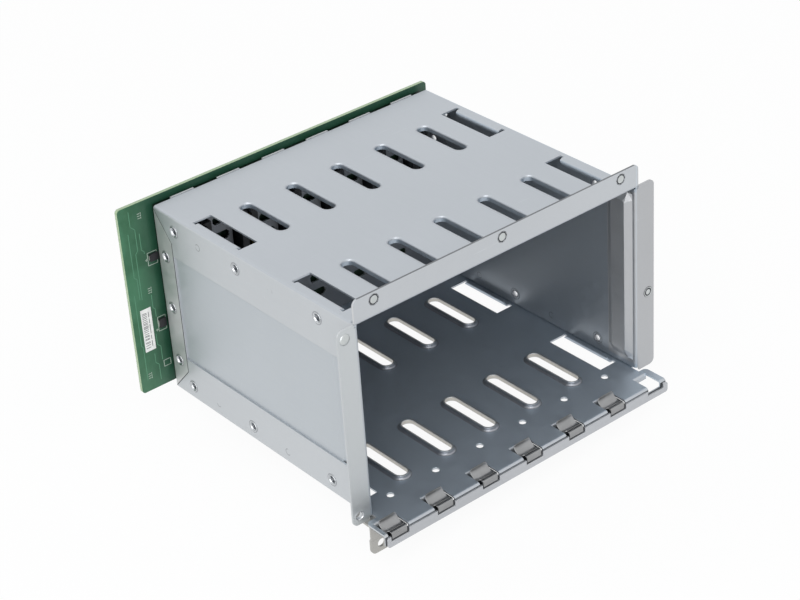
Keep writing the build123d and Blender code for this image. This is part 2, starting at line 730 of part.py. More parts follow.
def connector_contacts(x):
    """Row of contacts along one wall of a drive connector's slot."""
    wall = x + TONGUE_WIDTH / 2
    front = CONNECTOR_FRONT + TONGUE_DEPTH - CONTACT_LENGTH
    low = CONNECTOR_Z - (CONTACT_COUNT - 1) * CONTACT_PITCH / 2 - CONTACT_WIDTH / 2
    contacts = [
        block(
            wall - CONTACT_THICKNESS, wall, front, front + CONTACT_LENGTH,
            low + i * CONTACT_PITCH, low + i * CONTACT_PITCH + CONTACT_WIDTH,
        )
        for i in range(CONTACT_COUNT)
    ]
    return Part() + contacts


def power_connector():
    """Two-row power connector on the board's rear face."""
    width = POWER_WAYS * POWER_PITCH + 2 * POWER_WALL
    height = 2 * POWER_PITCH + 2 * POWER_WALL
    body = along_y(Pos(POWER_X, REAR_ROW_Z) * Rectangle(width, height), BOARD_BACK, BOARD_BACK + POWER_DEPTH)
    socket = Pos(POWER_X, REAR_ROW_Z) * Rectangle(POWER_SOCKET, POWER_SOCKET)
    sockets = Sketch() + [place * socket for place in GridLocations(POWER_PITCH, POWER_PITCH, POWER_WAYS, 2)]
    return body - along_y(sockets, BOARD_BACK + POWER_WALL, BOARD_BACK + POWER_DEPTH)


def data_connector(x):
    """Shielded data connector: a shell open to the back with a tongue inside."""
    spot = Pos(x, REAR_ROW_Z)
    shell = spot * Rectangle(DATA_WIDTH, DATA_HEIGHT)
    cavity = spot * Rectangle(DATA_WIDTH - 2 * DATA_WALL, DATA_HEIGHT - 2 * DATA_WALL)
    tongue = spot * Rectangle(DATA_TONGUE_WIDTH, DATA_TONGUE_HEIGHT)
    base = BOARD_BACK + 2 * DATA_WALL
    rear = BOARD_BACK + DATA_DEPTH
    body = along_y(shell, BOARD_BACK, rear) - along_y(cavity, base, rear)
    return body + along_y(tongue, base, rear - 2 * DATA_WALL)


def status_header():
    """Two-row pin header in an open box."""
    width = (HEADER_WAYS + 1) * HEADER_PITCH + 2 * HEADER_WALL
    height = 3 * HEADER_PITCH + 2 * HEADER_WALL
    spot = Pos(HEADER_X, REAR_ROW_Z)
    box = along_y(spot * Rectangle(width, height), BOARD_BACK, BOARD_BACK + HEADER_DEPTH)
    cavity = spot * Rectangle(width - 2 * HEADER_WALL, height - 2 * HEADER_WALL)
    box -= along_y(cavity, BOARD_BACK + HEADER_WALL, BOARD_BACK + HEADER_DEPTH)
    pin = spot * Rectangle(PIN_SIZE, PIN_SIZE)
    pins = Sketch() + [place * pin for place in GridLocations(HEADER_PITCH, HEADER_PITCH, HEADER_WAYS, 2)]
    return box + along_y(pins, BOARD_BACK + HEADER_WALL, BOARD_BACK + HEADER_WALL + PIN_LENGTH)


def front_chip(x, z, width, height):
    """Small chip on the board's front face."""
    return along_y(Pos(x, z) * Rectangle(width, height), BOARD_FRONT - CHIP_THICKNESS, BOARD_FRONT)


def front_chips():
    """Two chips on the board's front face beside the cage."""
    upper = front_chip(UPPER_CHIP_X, UPPER_CHIP_Z, CHIP_LONG, CHIP_SHORT)
    lower = front_chip(LOWER_CHIP_X, LOWER_CHIP_Z, CHIP_SHORT, CHIP_LONG)
    return Part() + [upper, lower]


def rear_chips():
    """Two controllers and a memory chip on the board's rear face."""
    controller = Rectangle(CONTROLLER, CONTROLLER)
    faces = [Pos(x, CONTROLLER_Z) * controller for x in (-BAY_PITCH, BAY_PITCH)]
    faces.append(Pos(0, MEMORY_Z) * Rectangle(MEMORY_WIDTH, MEMORY_HEIGHT))
    return along_y(Sketch() + faces, BOARD_BACK, BOARD_BACK + CONTROLLER_THICKNESS)


def capacitors():
    """Row of capacitors above the power connector."""
    row = Pos(POWER_X, REAR_ROW_Z + 2 * POWER_PITCH + CAPACITOR)
    can = row * RegularPolygon(CAPACITOR / 2, LARGE_ROUND_SIDES)
    cans = Sketch() + [place * can for place in GridLocations(CAPACITOR_PITCH, 1, CAPACITOR_COUNT, 1)]
    return along_y(cans, BOARD_BACK, BOARD_BACK + CAPACITOR_HEIGHT)


def board_label():
    """Plain label on the board's front face."""
    half_w = LABEL_WIDTH / 2
    half_h = LABEL_HEIGHT / 2
    return block(
        LABEL_X - half_w, LABEL_X + half_w, BOARD_FRONT - LABEL_THICKNESS, BOARD_FRONT,
        LABEL_Z - half_h, LABEL_Z + half_h,
    )


def front_flange_rivets():
    """One rivet in each side panel's front flange."""
    left_x = -(HALF_WIDTH + LEFT_FLANGE_REACH) + FLANGE_RIVET_INSET
    right_x = HALF_WIDTH + RIGHT_FLANGE_REACH - FLANGE_RIVET_INSET
    return Part() + [
        front_rivet(left_x, CAGE_HEIGHT - LEFT_FLANGE_RIVET_DROP),
        front_rivet(right_x, RIGHT_FLANGE_RIVET_Z),
    ]


def top_flange_discs():
    """Three flush discs along the upturned flange."""
    z = CAGE_HEIGHT + BROW_HEIGHT - BROW_DISC_DROP
    discs = [Pos(x, z) * small_round(DISC) for x in (-BROW_DISC_X, 0, BROW_DISC_X)]
    return along_y(Sketch() + discs, 0, SHEET)


nodes = {
    "top_panel": top_panel(),
    "bottom_panel": bottom_panel(),
    "left_side_panel": left_side_panel(),
    "right_side_panel": right_side_panel(),
    "rear_panel": rear_panel(),
    "front_rail": front_rail(),
    "mounting_ear": mounting_ear(),
    "left_rivets": side_rivets(LEFT),
    "right_rivets": side_rivets(RIGHT),
    "top_flange_discs": top_flange_discs(),
    "front_flange_rivets": front_flange_rivets(),
    "backplane_board": backplane_board(),
    "board_standoffs": board_standoffs(),
    "board_screws": board_screws(),
    "power_connector": power_connector(),
    "status_header": status_header(),
    "front_chips": front_chips(),
    "rear_chips": rear_chips(),
    "capacitors": capacitors(),
    "board_label": board_label(),
}
for number, x in enumerate(DATA_X, start=1):
    nodes[f"data_connector_{number}"] = data_connector(x)
for number, x in enumerate(BAY_EDGES[:-1], start=1):
    nodes[f"clip_hook_{number}"] = clip_hook(x)
    nodes[f"clip_leaf_{number}"] = clip_leaf(x)
for number, x in enumerate(CONNECTOR_X, start=1):
    nodes[f"drive_connector_{number}"] = drive_connector(x)
    nodes[f"connector_contacts_{number}"] = connector_contacts(x)

for name, part in nodes.items():
    export_step(part, f"parts/{name}.step")
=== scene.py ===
import json
import math
import random

import bmesh
import bpy
from mathutils import Matrix, Vector

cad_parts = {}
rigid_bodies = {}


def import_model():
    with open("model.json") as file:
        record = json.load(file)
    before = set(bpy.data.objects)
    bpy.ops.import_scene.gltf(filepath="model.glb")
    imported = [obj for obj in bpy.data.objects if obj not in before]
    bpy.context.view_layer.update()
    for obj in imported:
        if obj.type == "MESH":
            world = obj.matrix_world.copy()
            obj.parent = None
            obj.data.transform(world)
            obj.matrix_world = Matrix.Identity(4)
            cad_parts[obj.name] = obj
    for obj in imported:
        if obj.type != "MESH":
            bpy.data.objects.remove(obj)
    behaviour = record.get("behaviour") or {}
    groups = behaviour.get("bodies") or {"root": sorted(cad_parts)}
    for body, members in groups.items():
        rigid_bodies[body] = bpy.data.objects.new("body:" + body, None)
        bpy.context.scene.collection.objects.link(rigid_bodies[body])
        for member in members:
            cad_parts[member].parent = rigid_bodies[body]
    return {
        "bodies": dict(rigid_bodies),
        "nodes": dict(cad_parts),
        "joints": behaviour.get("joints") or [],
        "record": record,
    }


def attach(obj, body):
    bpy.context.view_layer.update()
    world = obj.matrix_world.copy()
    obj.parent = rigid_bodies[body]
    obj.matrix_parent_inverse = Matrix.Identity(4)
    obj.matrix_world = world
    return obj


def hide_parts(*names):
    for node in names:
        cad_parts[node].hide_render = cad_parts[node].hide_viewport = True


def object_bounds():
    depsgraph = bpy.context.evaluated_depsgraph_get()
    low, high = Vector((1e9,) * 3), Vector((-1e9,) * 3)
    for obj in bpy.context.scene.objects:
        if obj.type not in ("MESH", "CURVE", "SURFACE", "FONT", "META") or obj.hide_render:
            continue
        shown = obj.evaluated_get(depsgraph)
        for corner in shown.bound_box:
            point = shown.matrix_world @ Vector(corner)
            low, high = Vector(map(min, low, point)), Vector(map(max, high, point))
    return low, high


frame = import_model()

MM = 0.001
nodes = frame["nodes"]
cad_low, cad_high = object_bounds()
random.seed(11)

# Sizes of the cage, in millimetres
BAY_PITCH = 28.6
CAGE_WIDTH = 179.0
HALF_WIDTH = CAGE_WIDTH / 2
CAGE_HEIGHT = 107.4
BOARD_FRONT = 162.4
BOARD_BACK = 164.4
SLOT_RADIUS = 3.5
SLOT_REACH = 14.0
SLOT_ROWS = (30.1, 109.4)
SLOT_LINES = [i * BAY_PITCH for i in (-2, -1, 0, 1, 2)]
BAY_CENTRES = [(i - 2.5) * BAY_PITCH for i in range(6)]
CLIP_LINES = [(i - 3) * BAY_PITCH for i in range(6)]

# Places of rivets, screws and pins: Y and Z on the sides, X and Z on the front and the back
EYELET_SPOTS = [
    (28.0, 99.0), (91.0, 99.0), (142.0, 99.0), (28.0, 8.0), (91.0, 8.0), (142.0, 8.0),
    (152.4, 19.4), (152.4, 50.8), (152.4, 80.7),
]
# Centres of the dark crescents on the sides, painted shade of small half-sheared dimples
CRESCENT_SHADE_SPOTS = [(122.0, 98.0), (63.7, 98.0), (120.0, 7.7), (62.8, 6.7)]
DISC_SPOTS = [(-77.5, 115.7), (0.0, 115.7), (77.5, 115.7)]
LEFT_RIVET = (-95.4, 102.4)
RIGHT_RIVET = (96.1, 44.1)
LEFT_HOLE = (-95.5, 4.8)
STANDOFF_SPOTS = [(BAY_CENTRES[bay], z) for bay in (0, 2, 3, 5) for z in (21.0, 99.5)]
CAN_SPOTS = [(-57.2 + i * 9.0, 28.7) for i in (-1, 0, 1)]
CHIP_LINES = (-BAY_PITCH, BAY_PITCH)
CHIP_Z = 56.0
SMALL_CHIP_Z = 84.0

# Limits of the masks that tell faces of the sheets apart, in millimetres
PLATE_FACES = (88.05, 88.45)
INSIDE_HALF = 88.4
INSIDE_DEPTHS = (-16.2, 158.6)
INSIDE_HEIGHTS = (0.9, 106.6)
SHELF_REAR = -1.5
SHELF_HEIGHTS = (0.95, 1.2)
FLANGE_FACE = 89.3
BROW_LOW = 107.9
BROW_EDGE = 119.66
LIP_FRONT = -16.2
LIP_TOP = -0.02
BAND_INNER = 84.5
BAND_REAR = 19.8
BAND_HEIGHTS = (4.0, 104.0)
SLOPE_SIDES = (84.8, 88.0)
SLOPE_DEPTHS = (2.2, 5.8)
SLOPE_HEIGHTS = (6.0, 102.6)
SLOPE_LIFT = 2.4

# Mitre joints of the rear flanges: their Y and heights, and the slanted lines' normals in Y and Z
MITRE_Y = 145.55
MITRE_LOW_Z = 15.0
MITRE_HIGH_Z = 91.0
LOW_NORMAL = (0.7335, 0.6797)
HIGH_NORMAL = (0.763, 0.6465)
UPRIGHT_SEAM = 0.30
SLANTED_SEAM = 0.26

# Colours
SHEET = ((0.530, 0.562, 0.598), (0.495, 0.527, 0.563))
SHEET_LEFT = ((0.540, 0.575, 0.605), (0.505, 0.540, 0.570))
SHEET_RIGHT = ((0.500, 0.510, 0.525), (0.465, 0.475, 0.490))
SHEET_REAR = ((0.600, 0.620, 0.640), (0.560, 0.580, 0.600))
RAIL = ((0.520, 0.535, 0.560), (0.485, 0.500, 0.525))
# The ear's beige-grey is partly its own tone and partly painted shade from the floor above it
EAR = ((0.455, 0.450, 0.430), (0.420, 0.415, 0.395))
# Painted shade: tints multiplied into the faces inside the cage and the shelf's top, and into the rear
# panel's inner faces
INSIDE_SHADE_TINT = (0.84, 0.90, 0.955)
REAR_SHADE_TINT = (0.40, 0.40, 0.41)
# Painted light: lighter tints for the left outer faces, the brow and the right wall's plate
LEFT_OUTSIDE_LIGHT_TINT = (1.11, 1.09, 1.06)
BROW_LIGHT_TINT = (1.09, 1.07, 1.05)
RIGHT_PLATE_LIGHT_TINT = (1.04, 1.10, 1.14)

# Light
SKY_STRENGTH = 0.70
FLOOR_WHITE = 0.93


def new_object(name, data):
    """New object at the origin with its data."""
    item = bpy.data.objects.new(name, data)
    bpy.context.scene.collection.objects.link(item)
    return item


# Camera

VIEW_ANGLES = (-37.996, 31.277, -4.038)
VIEW_PLACE = (-571.855, -651.751, 611.270)
FOCAL_PIXELS = 2148.03
PHOTO_WIDTH = 800
SENSOR_WIDTH = 36


def place_camera():
    """Camera at the photograph's viewing angle, from the fit to the cage's corners."""
    azimuth, elevation, roll = (math.radians(angle) for angle in VIEW_ANGLES)
    back = Vector((
        math.sin(azimuth) * math.cos(elevation),
        -math.cos(azimuth) * math.cos(elevation),
        math.sin(elevation),
    ))
    right = (-back).cross(Vector((0, 0, 1))).normalized()
    up = right.cross(-back)
    side = math.cos(roll) * right + math.sin(roll) * up
    head = -math.sin(roll) * right + math.cos(roll) * up
    data = bpy.data.cameras.new("camera")
    data.sensor_width = SENSOR_WIDTH
    data.lens = SENSOR_WIDTH * FOCAL_PIXELS / PHOTO_WIDTH
    data.clip_start = 0.05
    data.clip_end = 50
    camera = new_object("camera", data)
    turn = Matrix((side, head, back)).transposed().to_4x4()
    camera.matrix_world = Matrix.Translation(Vector(VIEW_PLACE) * MM) @ turn
    bpy.context.scene.camera = camera


# Light and floor

def area_light(name, place, aim, size, power):
    """Soft square lamp that points at a spot."""
    data = bpy.data.lights.new(name, "AREA")
    data.shape = "RECTANGLE"
    data.size, data.size_y = size
    data.energy = power
    lamp = new_object(name, data)
    lamp.location = place
    lamp.rotation_mode = "QUATERNION"
    lamp.rotation_quaternion = (Vector(aim) - Vector(place)).to_track_quat("-Z", "Y")


def rays_that_see(tree):
    """One for camera, glossy and transmission rays, nought for the rays that light the cage."""
    path = tree.nodes.new("ShaderNodeLightPath")
    seen = tree.nodes.new("ShaderNodeMath")
    seen.operation = "ADD"
    tree.links.new(path.outputs["Is Camera Ray"], seen.inputs[0])
    tree.links.new(path.outputs["Is Glossy Ray"], seen.inputs[1])
    through = tree.nodes.new("ShaderNodeMath")
    through.operation = "ADD"
    through.use_clamp = True
    tree.links.new(seen.outputs[0], through.inputs[0])
    tree.links.new(path.outputs["Is Transmission Ray"], through.inputs[1])
    return through.outputs[0]


def white_to_view(tree, shaded, share):
    """Mix of a shaded surface with plain white, for the rays that see it."""
    white = tree.nodes.new("ShaderNodeEmission")
    white.inputs["Color"].default_value = (1, 1, 1, 1)
    white.inputs["Strength"].default_value = 1.0
    part = tree.nodes.new("ShaderNodeMath")
    part.operation = "MULTIPLY"
    part.inputs[1].default_value = share
    tree.links.new(rays_that_see(tree), part.inputs[0])
    mix = tree.nodes.new("ShaderNodeMixShader")
    tree.links.new(part.outputs[0], mix.inputs["Fac"])
    tree.links.new(shaded, mix.inputs[1])
    tree.links.new(white.outputs[0], mix.inputs[2])
    return mix.outputs[0]


def world_light():
    """Even sky that lights the cage softly and is seen as plain white."""
    world = bpy.data.worlds.new("studio")
    bpy.context.scene.world = world
    world.use_nodes = True
    tree = world.node_tree
    tree.nodes.clear()
    out = tree.nodes.new("ShaderNodeOutputWorld")
    sky = tree.nodes.new("ShaderNodeBackground")
    sky.inputs["Color"].default_value = (0.97, 0.985, 1.0, 1)
    sky.inputs["Strength"].default_value = SKY_STRENGTH
    white = tree.nodes.new("ShaderNodeBackground")
    white.inputs["Color"].default_value = (1, 1, 1, 1)
    white.inputs["Strength"].default_value = 1.0
    mix = tree.nodes.new("ShaderNodeMixShader")
    tree.links.new(rays_that_see(tree), mix.inputs["Fac"])
    tree.links.new(sky.outputs[0], mix.inputs[1])
    tree.links.new(white.outputs[0], mix.inputs[2])
    tree.links.new(mix.outputs[0], out.inputs["Surface"])


def floor():
    """Large white floor under the lowest point of the cage, which keeps a faint shadow."""
    mesh = bpy.data.meshes.new("studio_floor")
    bm = bmesh.new()
    bmesh.ops.create_grid(bm, x_segments=1, y_segments=1, size=4)
    bm.to_mesh(mesh)
    bm.free()
    sheet = new_object("studio_floor", mesh)
    sheet.location.z = cad_low.z - 0.0002
    material = bpy.data.materials.new("studio_floor")
    material.use_nodes = True
    tree = material.node_tree
    shader = tree.nodes["Principled BSDF"]
    shader.inputs["Base Color"].default_value = (0.95, 0.95, 0.95, 1)
    shader.inputs["Roughness"].default_value = 0.9
    out = tree.nodes["Material Output"]
    tree.links.new(white_to_view(tree, shader.outputs[0], FLOOR_WHITE), out.inputs["Surface"])
    mesh.materials.append(material)


# Materials

class Nodes:
    """Small helper that adds and links shader nodes of one material."""

    def __init__(self, name):
        self.material = bpy.data.materials.new(name)
        self.material.use_nodes = True
        self.tree = self.material.node_tree
        self.shader = self.tree.nodes["Principled BSDF"]
        self.coords = self.tree.nodes.new("ShaderNodeTexCoord").outputs["Object"]

    def add(self, kind, **values):
        node = self.tree.nodes.new(kind)
        for key, value in values.items():
            setattr(node, key, value)
        return node

    def link(self, source, target):
        self.tree.links.new(source, target)

    def stretched(self, scale):
        """Object coordinates scaled by axis, for grain with a direction."""
        mapping = self.add("ShaderNodeMapping")
        mapping.inputs["Scale"].default_value = scale
        self.link(self.coords, mapping.inputs["Vector"])
        return mapping.outputs["Vector"]

    def noise(self, scale, detail=3.0, vector=None):
        node = self.add("ShaderNodeTexNoise")
        node.inputs["Scale"].default_value = scale
        node.inputs["Detail"].default_value = detail
        self.link(vector or self.coords, node.inputs["Vector"])
        return node.outputs["Fac"]

    def remap(self, value, low, high, out_low, out_high):
        node = self.add("ShaderNodeMapRange")
        node.inputs["From Min"].default_value = low
        node.inputs["From Max"].default_value = high
        node.inputs["To Min"].default_value = out_low
        node.inputs["To Max"].default_value = out_high
        self.link(value, node.inputs["Value"])
        return node.outputs["Result"]

    def math(self, operation, a, b=None):
        node = self.add("ShaderNodeMath", operation=operation)
        for socket, value in zip(node.inputs, (a, b)):
            if value is None:
                continue
            if isinstance(value, (int, float)):
                socket.default_value = value
            else:
                self.link(value, socket)
        return node.outputs[0]

    def mix(self, factor, a, b):
        """Colour mix; a and b are colours or sockets."""
        node = self.add("ShaderNodeMix", data_type="RGBA")
        for socket, value in ((node.inputs[0], factor), (node.inputs[6], a), (node.inputs[7], b)):
            if isinstance(value, tuple):
                socket.default_value = value + (1,)
            elif isinstance(value, (int, float)):
                socket.default_value = value
            else:
                self.link(value, socket)
        return node.outputs[2]

    def tint(self, mask, base, colour):
        """Colour multiplied by another where the mask is 1."""
        node = self.add("ShaderNodeMix", data_type="RGBA", blend_type="MULTIPLY")
        self.link(mask, node.inputs[0])
        self.link(base, node.inputs[6])
        node.inputs[7].default_value = colour + (1,)
        return node.outputs[2]

    def bump(self, height, distance, strength=1.0, normal=None):
        node = self.add("ShaderNodeBump")
        node.inputs["Strength"].default_value = strength
        node.inputs["Distance"].default_value = distance
        self.link(height, node.inputs["Height"])
        if normal:
            self.link(normal, node.inputs["Normal"])
        return node.outputs["Normal"]

    def soft_edges(self, radius):
        """Normal that rounds the sharp edges of a piece."""
        node = self.add("ShaderNodeBevel", samples=4)
        node.inputs["Radius"].default_value = radius * MM
        return node.outputs["Normal"]

    def apart(self):
        """The X, Y and Z of the object coordinates, as three sockets."""
        node = self.add("ShaderNodeSeparateXYZ")
        self.link(self.coords, node.inputs[0])
        return node.outputs[0], node.outputs[1], node.outputs[2]

    def nearest(self, spots):
        """Distance in the YZ plane to the nearest of some spots given in millimetres."""
        nearest = None
        _, y, z = self.apart()
        flat = self.add("ShaderNodeCombineXYZ")
        self.link(y, flat.inputs[1])
        self.link(z, flat.inputs[2])
        for spot_y, spot_z in spots:
            node = self.add("ShaderNodeVectorMath", operation="DISTANCE")
            node.inputs[1].default_value = (0, spot_y * MM, spot_z * MM)
            self.link(flat.outputs[0], node.inputs[0])
            reach = node.outputs["Value"]
            nearest = reach if nearest is None else self.math("MINIMUM", nearest, reach)
        return nearest

    def within(self, value, low, high):
        """One where a socket lies between two values in millimetres."""
        above = self.math("GREATER_THAN", value, low * MM)
        return self.math("MULTIPLY", above, self.math("LESS_THAN", value, high * MM))

    def all_of(self, *masks):
        result = masks[0]
        for mask in masks[1:]:
            result = self.math("MULTIPLY", result, mask)
        return result

    def line(self, across, half_width):
        """One on the line where a signed distance is nought, falling off on both sides."""
        return self.remap(self.math("ABSOLUTE", across), half_width * MM * 0.55, half_width * MM, 1, 0)

    def ring(self, distance, radius, half_width):
        """One on a circle of the given radius, falling to nought on both sides."""
        gap = self.math("ABSOLUTE", self.math("SUBTRACT", distance, radius * MM))
        return self.remap(gap, 0, half_width * MM, 1, 0)


def inside_mask(n):
    """One on the faces that look into the cage and on the shelf's top, where painted shade darkens the
    sheet.
    """
    x, y, z = n.apart()
    side = n.math("ABSOLUTE", x)
    band = n.all_of(
        n.math("GREATER_THAN", side, BAND_INNER * MM), n.math("LESS_THAN", y, BAND_REAR * MM),
        n.within(z, *BAND_HEIGHTS),
    )
    shelf = n.all_of(n.math("LESS_THAN", y, SHELF_REAR * MM), n.within(z, *SHELF_HEIGHTS))
    inside = n.all_of(
        n.math("LESS_THAN", side, INSIDE_HALF * MM), n.within(z, *INSIDE_HEIGHTS),
        n.within(y, *INSIDE_DEPTHS), n.math("SUBTRACT", 1.0, band),
    )
    return n.math("MAXIMUM", shelf, inside)


def band_lift(n):
    """Height that steepens the front slope of the embossed bands, in metres."""
    x, y, z = n.apart()
    slope = n.all_of(n.within(n.math("ABSOLUTE", x), *SLOPE_SIDES), n.within(z, *SLOPE_HEIGHTS))
    rise = n.remap(y, SLOPE_DEPTHS[0] * MM, SLOPE_DEPTHS[1] * MM, 0.0, SLOPE_LIFT * MM)
    return n.math("MULTIPLY", rise, slope)


def seam_and_shade_mask(n):
    """One on the dark lines: painted shade in the rear flanges' mitres and on the lip behind the rail, and
    the darkened top edge of the brow.
    """
    x, y, z = n.apart()
    outer = n.math("GREATER_THAN", n.math("ABSOLUTE", x), FLANGE_FACE * MM)
    y_off = n.math("SUBTRACT", y, MITRE_Y * MM)
    upright = n.math("MULTIPLY", n.line(y_off, UPRIGHT_SEAM), n.within(z, MITRE_LOW_Z, MITRE_HIGH_Z))
    above = n.math("MULTIPLY", n.math("SUBTRACT", z, MITRE_HIGH_Z * MM), HIGH_NORMAL[1])
    high = n.math("SUBTRACT", n.math("MULTIPLY", y_off, HIGH_NORMAL[0]), above)
    high = n.all_of(n.line(high, SLANTED_SEAM), n.within(z, MITRE_HIGH_Z, 107.0))
    below = n.math("MULTIPLY", n.math("SUBTRACT", z, MITRE_LOW_Z * MM), LOW_NORMAL[1])
    low = n.math("ADD", n.math("MULTIPLY", y_off, LOW_NORMAL[0]), below)
    low = n.all_of(n.line(low, SLANTED_SEAM), n.within(z, 0.4, MITRE_LOW_Z))
    joints = n.math("MULTIPLY", n.math("MAXIMUM", upright, n.math("MAXIMUM", high, low)), outer)
    lip = n.math("MULTIPLY", n.math("LESS_THAN", y, LIP_FRONT * MM), n.math("LESS_THAN", z, LIP_TOP * MM))
    brow_edge = n.math("GREATER_THAN", z, BROW_EDGE * MM)
    return n.math("MAXIMUM", n.math("MAXIMUM", joints, lip), n.math("MULTIPLY", brow_edge, 0.75))


def sheet_steel(name, colours, roughness, marks=False, inside=INSIDE_SHADE_TINT):
    """Zinc coated sheet: fine matte mottle, faint clouds, light scratches.

    With marks it also has painted shade and light by place, dimples round the eyelets and dark crescents
    and seams, all with painted shade."""
    n = Nodes(name)
    colour, dark = colours
    fine = n.noise(1500.0, 2.0)
    mottle = n.noise(260.0, 4.0)
    clouds = n.noise(11.0, 3.0)
    grain = n.noise(1.0, 3.0, n.stretched((700, 45, 700)))
    tone = n.math("ADD", n.remap(mottle, 0.3, 0.7, 0.0, 0.55), n.remap(clouds, 0.35, 0.7, 0.0, 0.45))
    base = n.mix(tone, dark, colour)
    scratch = n.remap(n.noise(1.0, 2.0, n.stretched((40, 1900, 320))), 0.70, 0.76, 0.0, 0.35)
    base = n.mix(scratch, base, tuple(min(1.0, c * 1.14) for c in colour))
    if marks:
        x, _, z = n.apart()
        # Painted shade: the inside faces and the shelf's top are darkened by the inside tint
        base = n.tint(inside_mask(n), base, inside)
        # Painted light: the left outer faces, the brow and the right plate are lightened
        base = n.tint(n.math("LESS_THAN", x, -FLANGE_FACE * MM), base, LEFT_OUTSIDE_LIGHT_TINT)
        base = n.tint(n.math("GREATER_THAN", z, BROW_LOW * MM), base, BROW_LIGHT_TINT)
        base = n.tint(n.within(x, *PLATE_FACES), base, RIGHT_PLATE_LIGHT_TINT)
    height = n.math("MULTIPLY", mottle, 0.6)
    height = n.math("ADD", height, n.math("MULTIPLY", fine, 0.25))
    if marks:
        # Painted shade: a dark ring in each dimple round the eyelets
        reach = n.nearest(EYELET_SPOTS)
        dimple = n.ring(reach, 3.22, 0.42)
        base = n.mix(n.math("MULTIPLY", dimple, 0.60), base, tuple(c * 0.35 for c in dark))
        # Painted shade: broken dark crescents round the crescent spots
        crescent_shade = n.ring(n.nearest(CRESCENT_SHADE_SPOTS), 1.7, 0.30)
        broken = n.remap(n.noise(210.0, 1.0), 0.42, 0.52, 0.0, 0.85)
        base = n.mix(n.math("MULTIPLY", crescent_shade, broken), base, tuple(c * 0.3 for c in dark))
        # Painted shade: dark mitre gaps and lip behind the rail; the brow's top edge is darkened too
        base = n.mix(seam_and_shade_mask(n), base, tuple(c * 0.16 for c in dark))
    n.link(base, n.shader.inputs["Base Color"])
    n.shader.inputs["Metallic"].default_value = 0.82
    streaks = n.remap(grain, 0.25, 0.75, -0.025, 0.025)
    patches = n.remap(mottle, 0.3, 0.7, roughness - 0.04, roughness + 0.05)
    worn = n.math("ADD", streaks, patches)
    n.link(n.math("SUBTRACT", worn, n.math("MULTIPLY", scratch, 0.15)), n.shader.inputs["Roughness"])
    normal = n.bump(height, 0.00002, 0.30, n.soft_edges(0.22))
    if marks:
        normal = n.bump(n.math("SUBTRACT", 1.0, dimple), 0.00012, 0.9, normal)
        normal = n.bump(band_lift(n), 1.0, 1.0, normal)
    n.link(normal, n.shader.inputs["Normal"])
    return n.material


def plain_metal(name, colour, roughness, scale=900.0, edge=0.12):
    """Small metal parts with faint handling marks."""
    n = Nodes(name)
    marks = n.noise(scale, 3.0)
    wide = n.noise(120.0, 2.0)
    dull = tuple(c * 0.90 for c in colour)
    n.link(n.mix(n.remap(wide, 0.35, 0.65, 0, 1), dull, colour), n.shader.inputs["Base Color"])
    n.shader.inputs["Metallic"].default_value = 1.0
    n.link(n.remap(marks, 0.3, 0.7, roughness - 0.04, roughness + 0.06), n.shader.inputs["Roughness"])
    n.link(n.bump(marks, 0.00001, 0.25, n.soft_edges(edge)), n.shader.inputs["Normal"])
    return n.material


def moulded(name, colour, roughness):
    """Moulded plastic with a fine grain and slight wear."""
    n = Nodes(name)
    grain = n.noise(1500.0, 3.0)
    wide = n.noise(60.0, 3.0)
    worn = tuple(c * 0.85 for c in colour)
    n.link(n.mix(n.remap(wide, 0.3, 0.7, 0, 1), worn, colour), n.shader.inputs["Base Color"])
    n.link(n.remap(grain, 0.3, 0.7, roughness - 0.06, roughness + 0.08), n.shader.inputs["Roughness"])
    n.link(n.bump(grain, 0.00002, 0.4, n.soft_edges(0.12)), n.shader.inputs["Normal"])
    return n.material


def board_material():
    """Green solder mask, mottled by the copper planes below it, with pale sawn edges and painted shade near
    and behind the cage.
    """
    n = Nodes("solder_mask")
    weave = n.noise(420.0, 2.0)
    planes = n.remap(n.noise(34.0, 1.0), 0.47, 0.53, 0.0, 1.0)
    patches = n.remap(n.noise(120.0, 3.0), 0.35, 0.65, 0.0, 1.0)
    mask = n.mix(planes, (0.030, 0.120, 0.055), (0.048, 0.168, 0.085))
    mask = n.mix(n.math("MULTIPLY", patches, 0.35), mask, (0.075, 0.215, 0.125))
    x, y, z = n.apart()
    side = n.math("ABSOLUTE", x)
    front = n.math("LESS_THAN", y, (BOARD_FRONT + 0.2) * MM)
    behind = n.all_of(n.math("LESS_THAN", side, 87.5 * MM), front, n.within(z, 2.5, 106.0))
    # Painted shade: the strip beside the cage darkens toward it, and the board behind the rear panel is
    # nearly black
    beside = n.remap(side, 88.0 * MM, 104.0 * MM, 0.85, 0.0)
    mask = n.mix(n.math("MULTIPLY", beside, front), mask, (0.012, 0.055, 0.034))
    mask = n.mix(behind, mask, (0.006, 0.022, 0.011))
    middle = (BOARD_FRONT + BOARD_BACK) / 2 * MM
    core = n.math("LESS_THAN", n.math("ABSOLUTE", n.math("SUBTRACT", y, middle)), 0.00095)
    speckle = n.remap(n.noise(900.0, 2.0), 0.3, 0.7, 0.0, 1.0)
    edge = n.mix(speckle, (0.30, 0.42, 0.25), (0.44, 0.55, 0.37))
    n.link(n.mix(core, mask, edge), n.shader.inputs["Base Color"])
    n.link(n.remap(weave, 0.3, 0.7, 0.30, 0.42), n.shader.inputs["Roughness"])
    fine = n.bump(weave, 0.00002, 0.4, n.soft_edges(0.15))
    n.link(n.bump(planes, 0.00002, 0.5, fine), n.shader.inputs["Normal"])
    return n.material


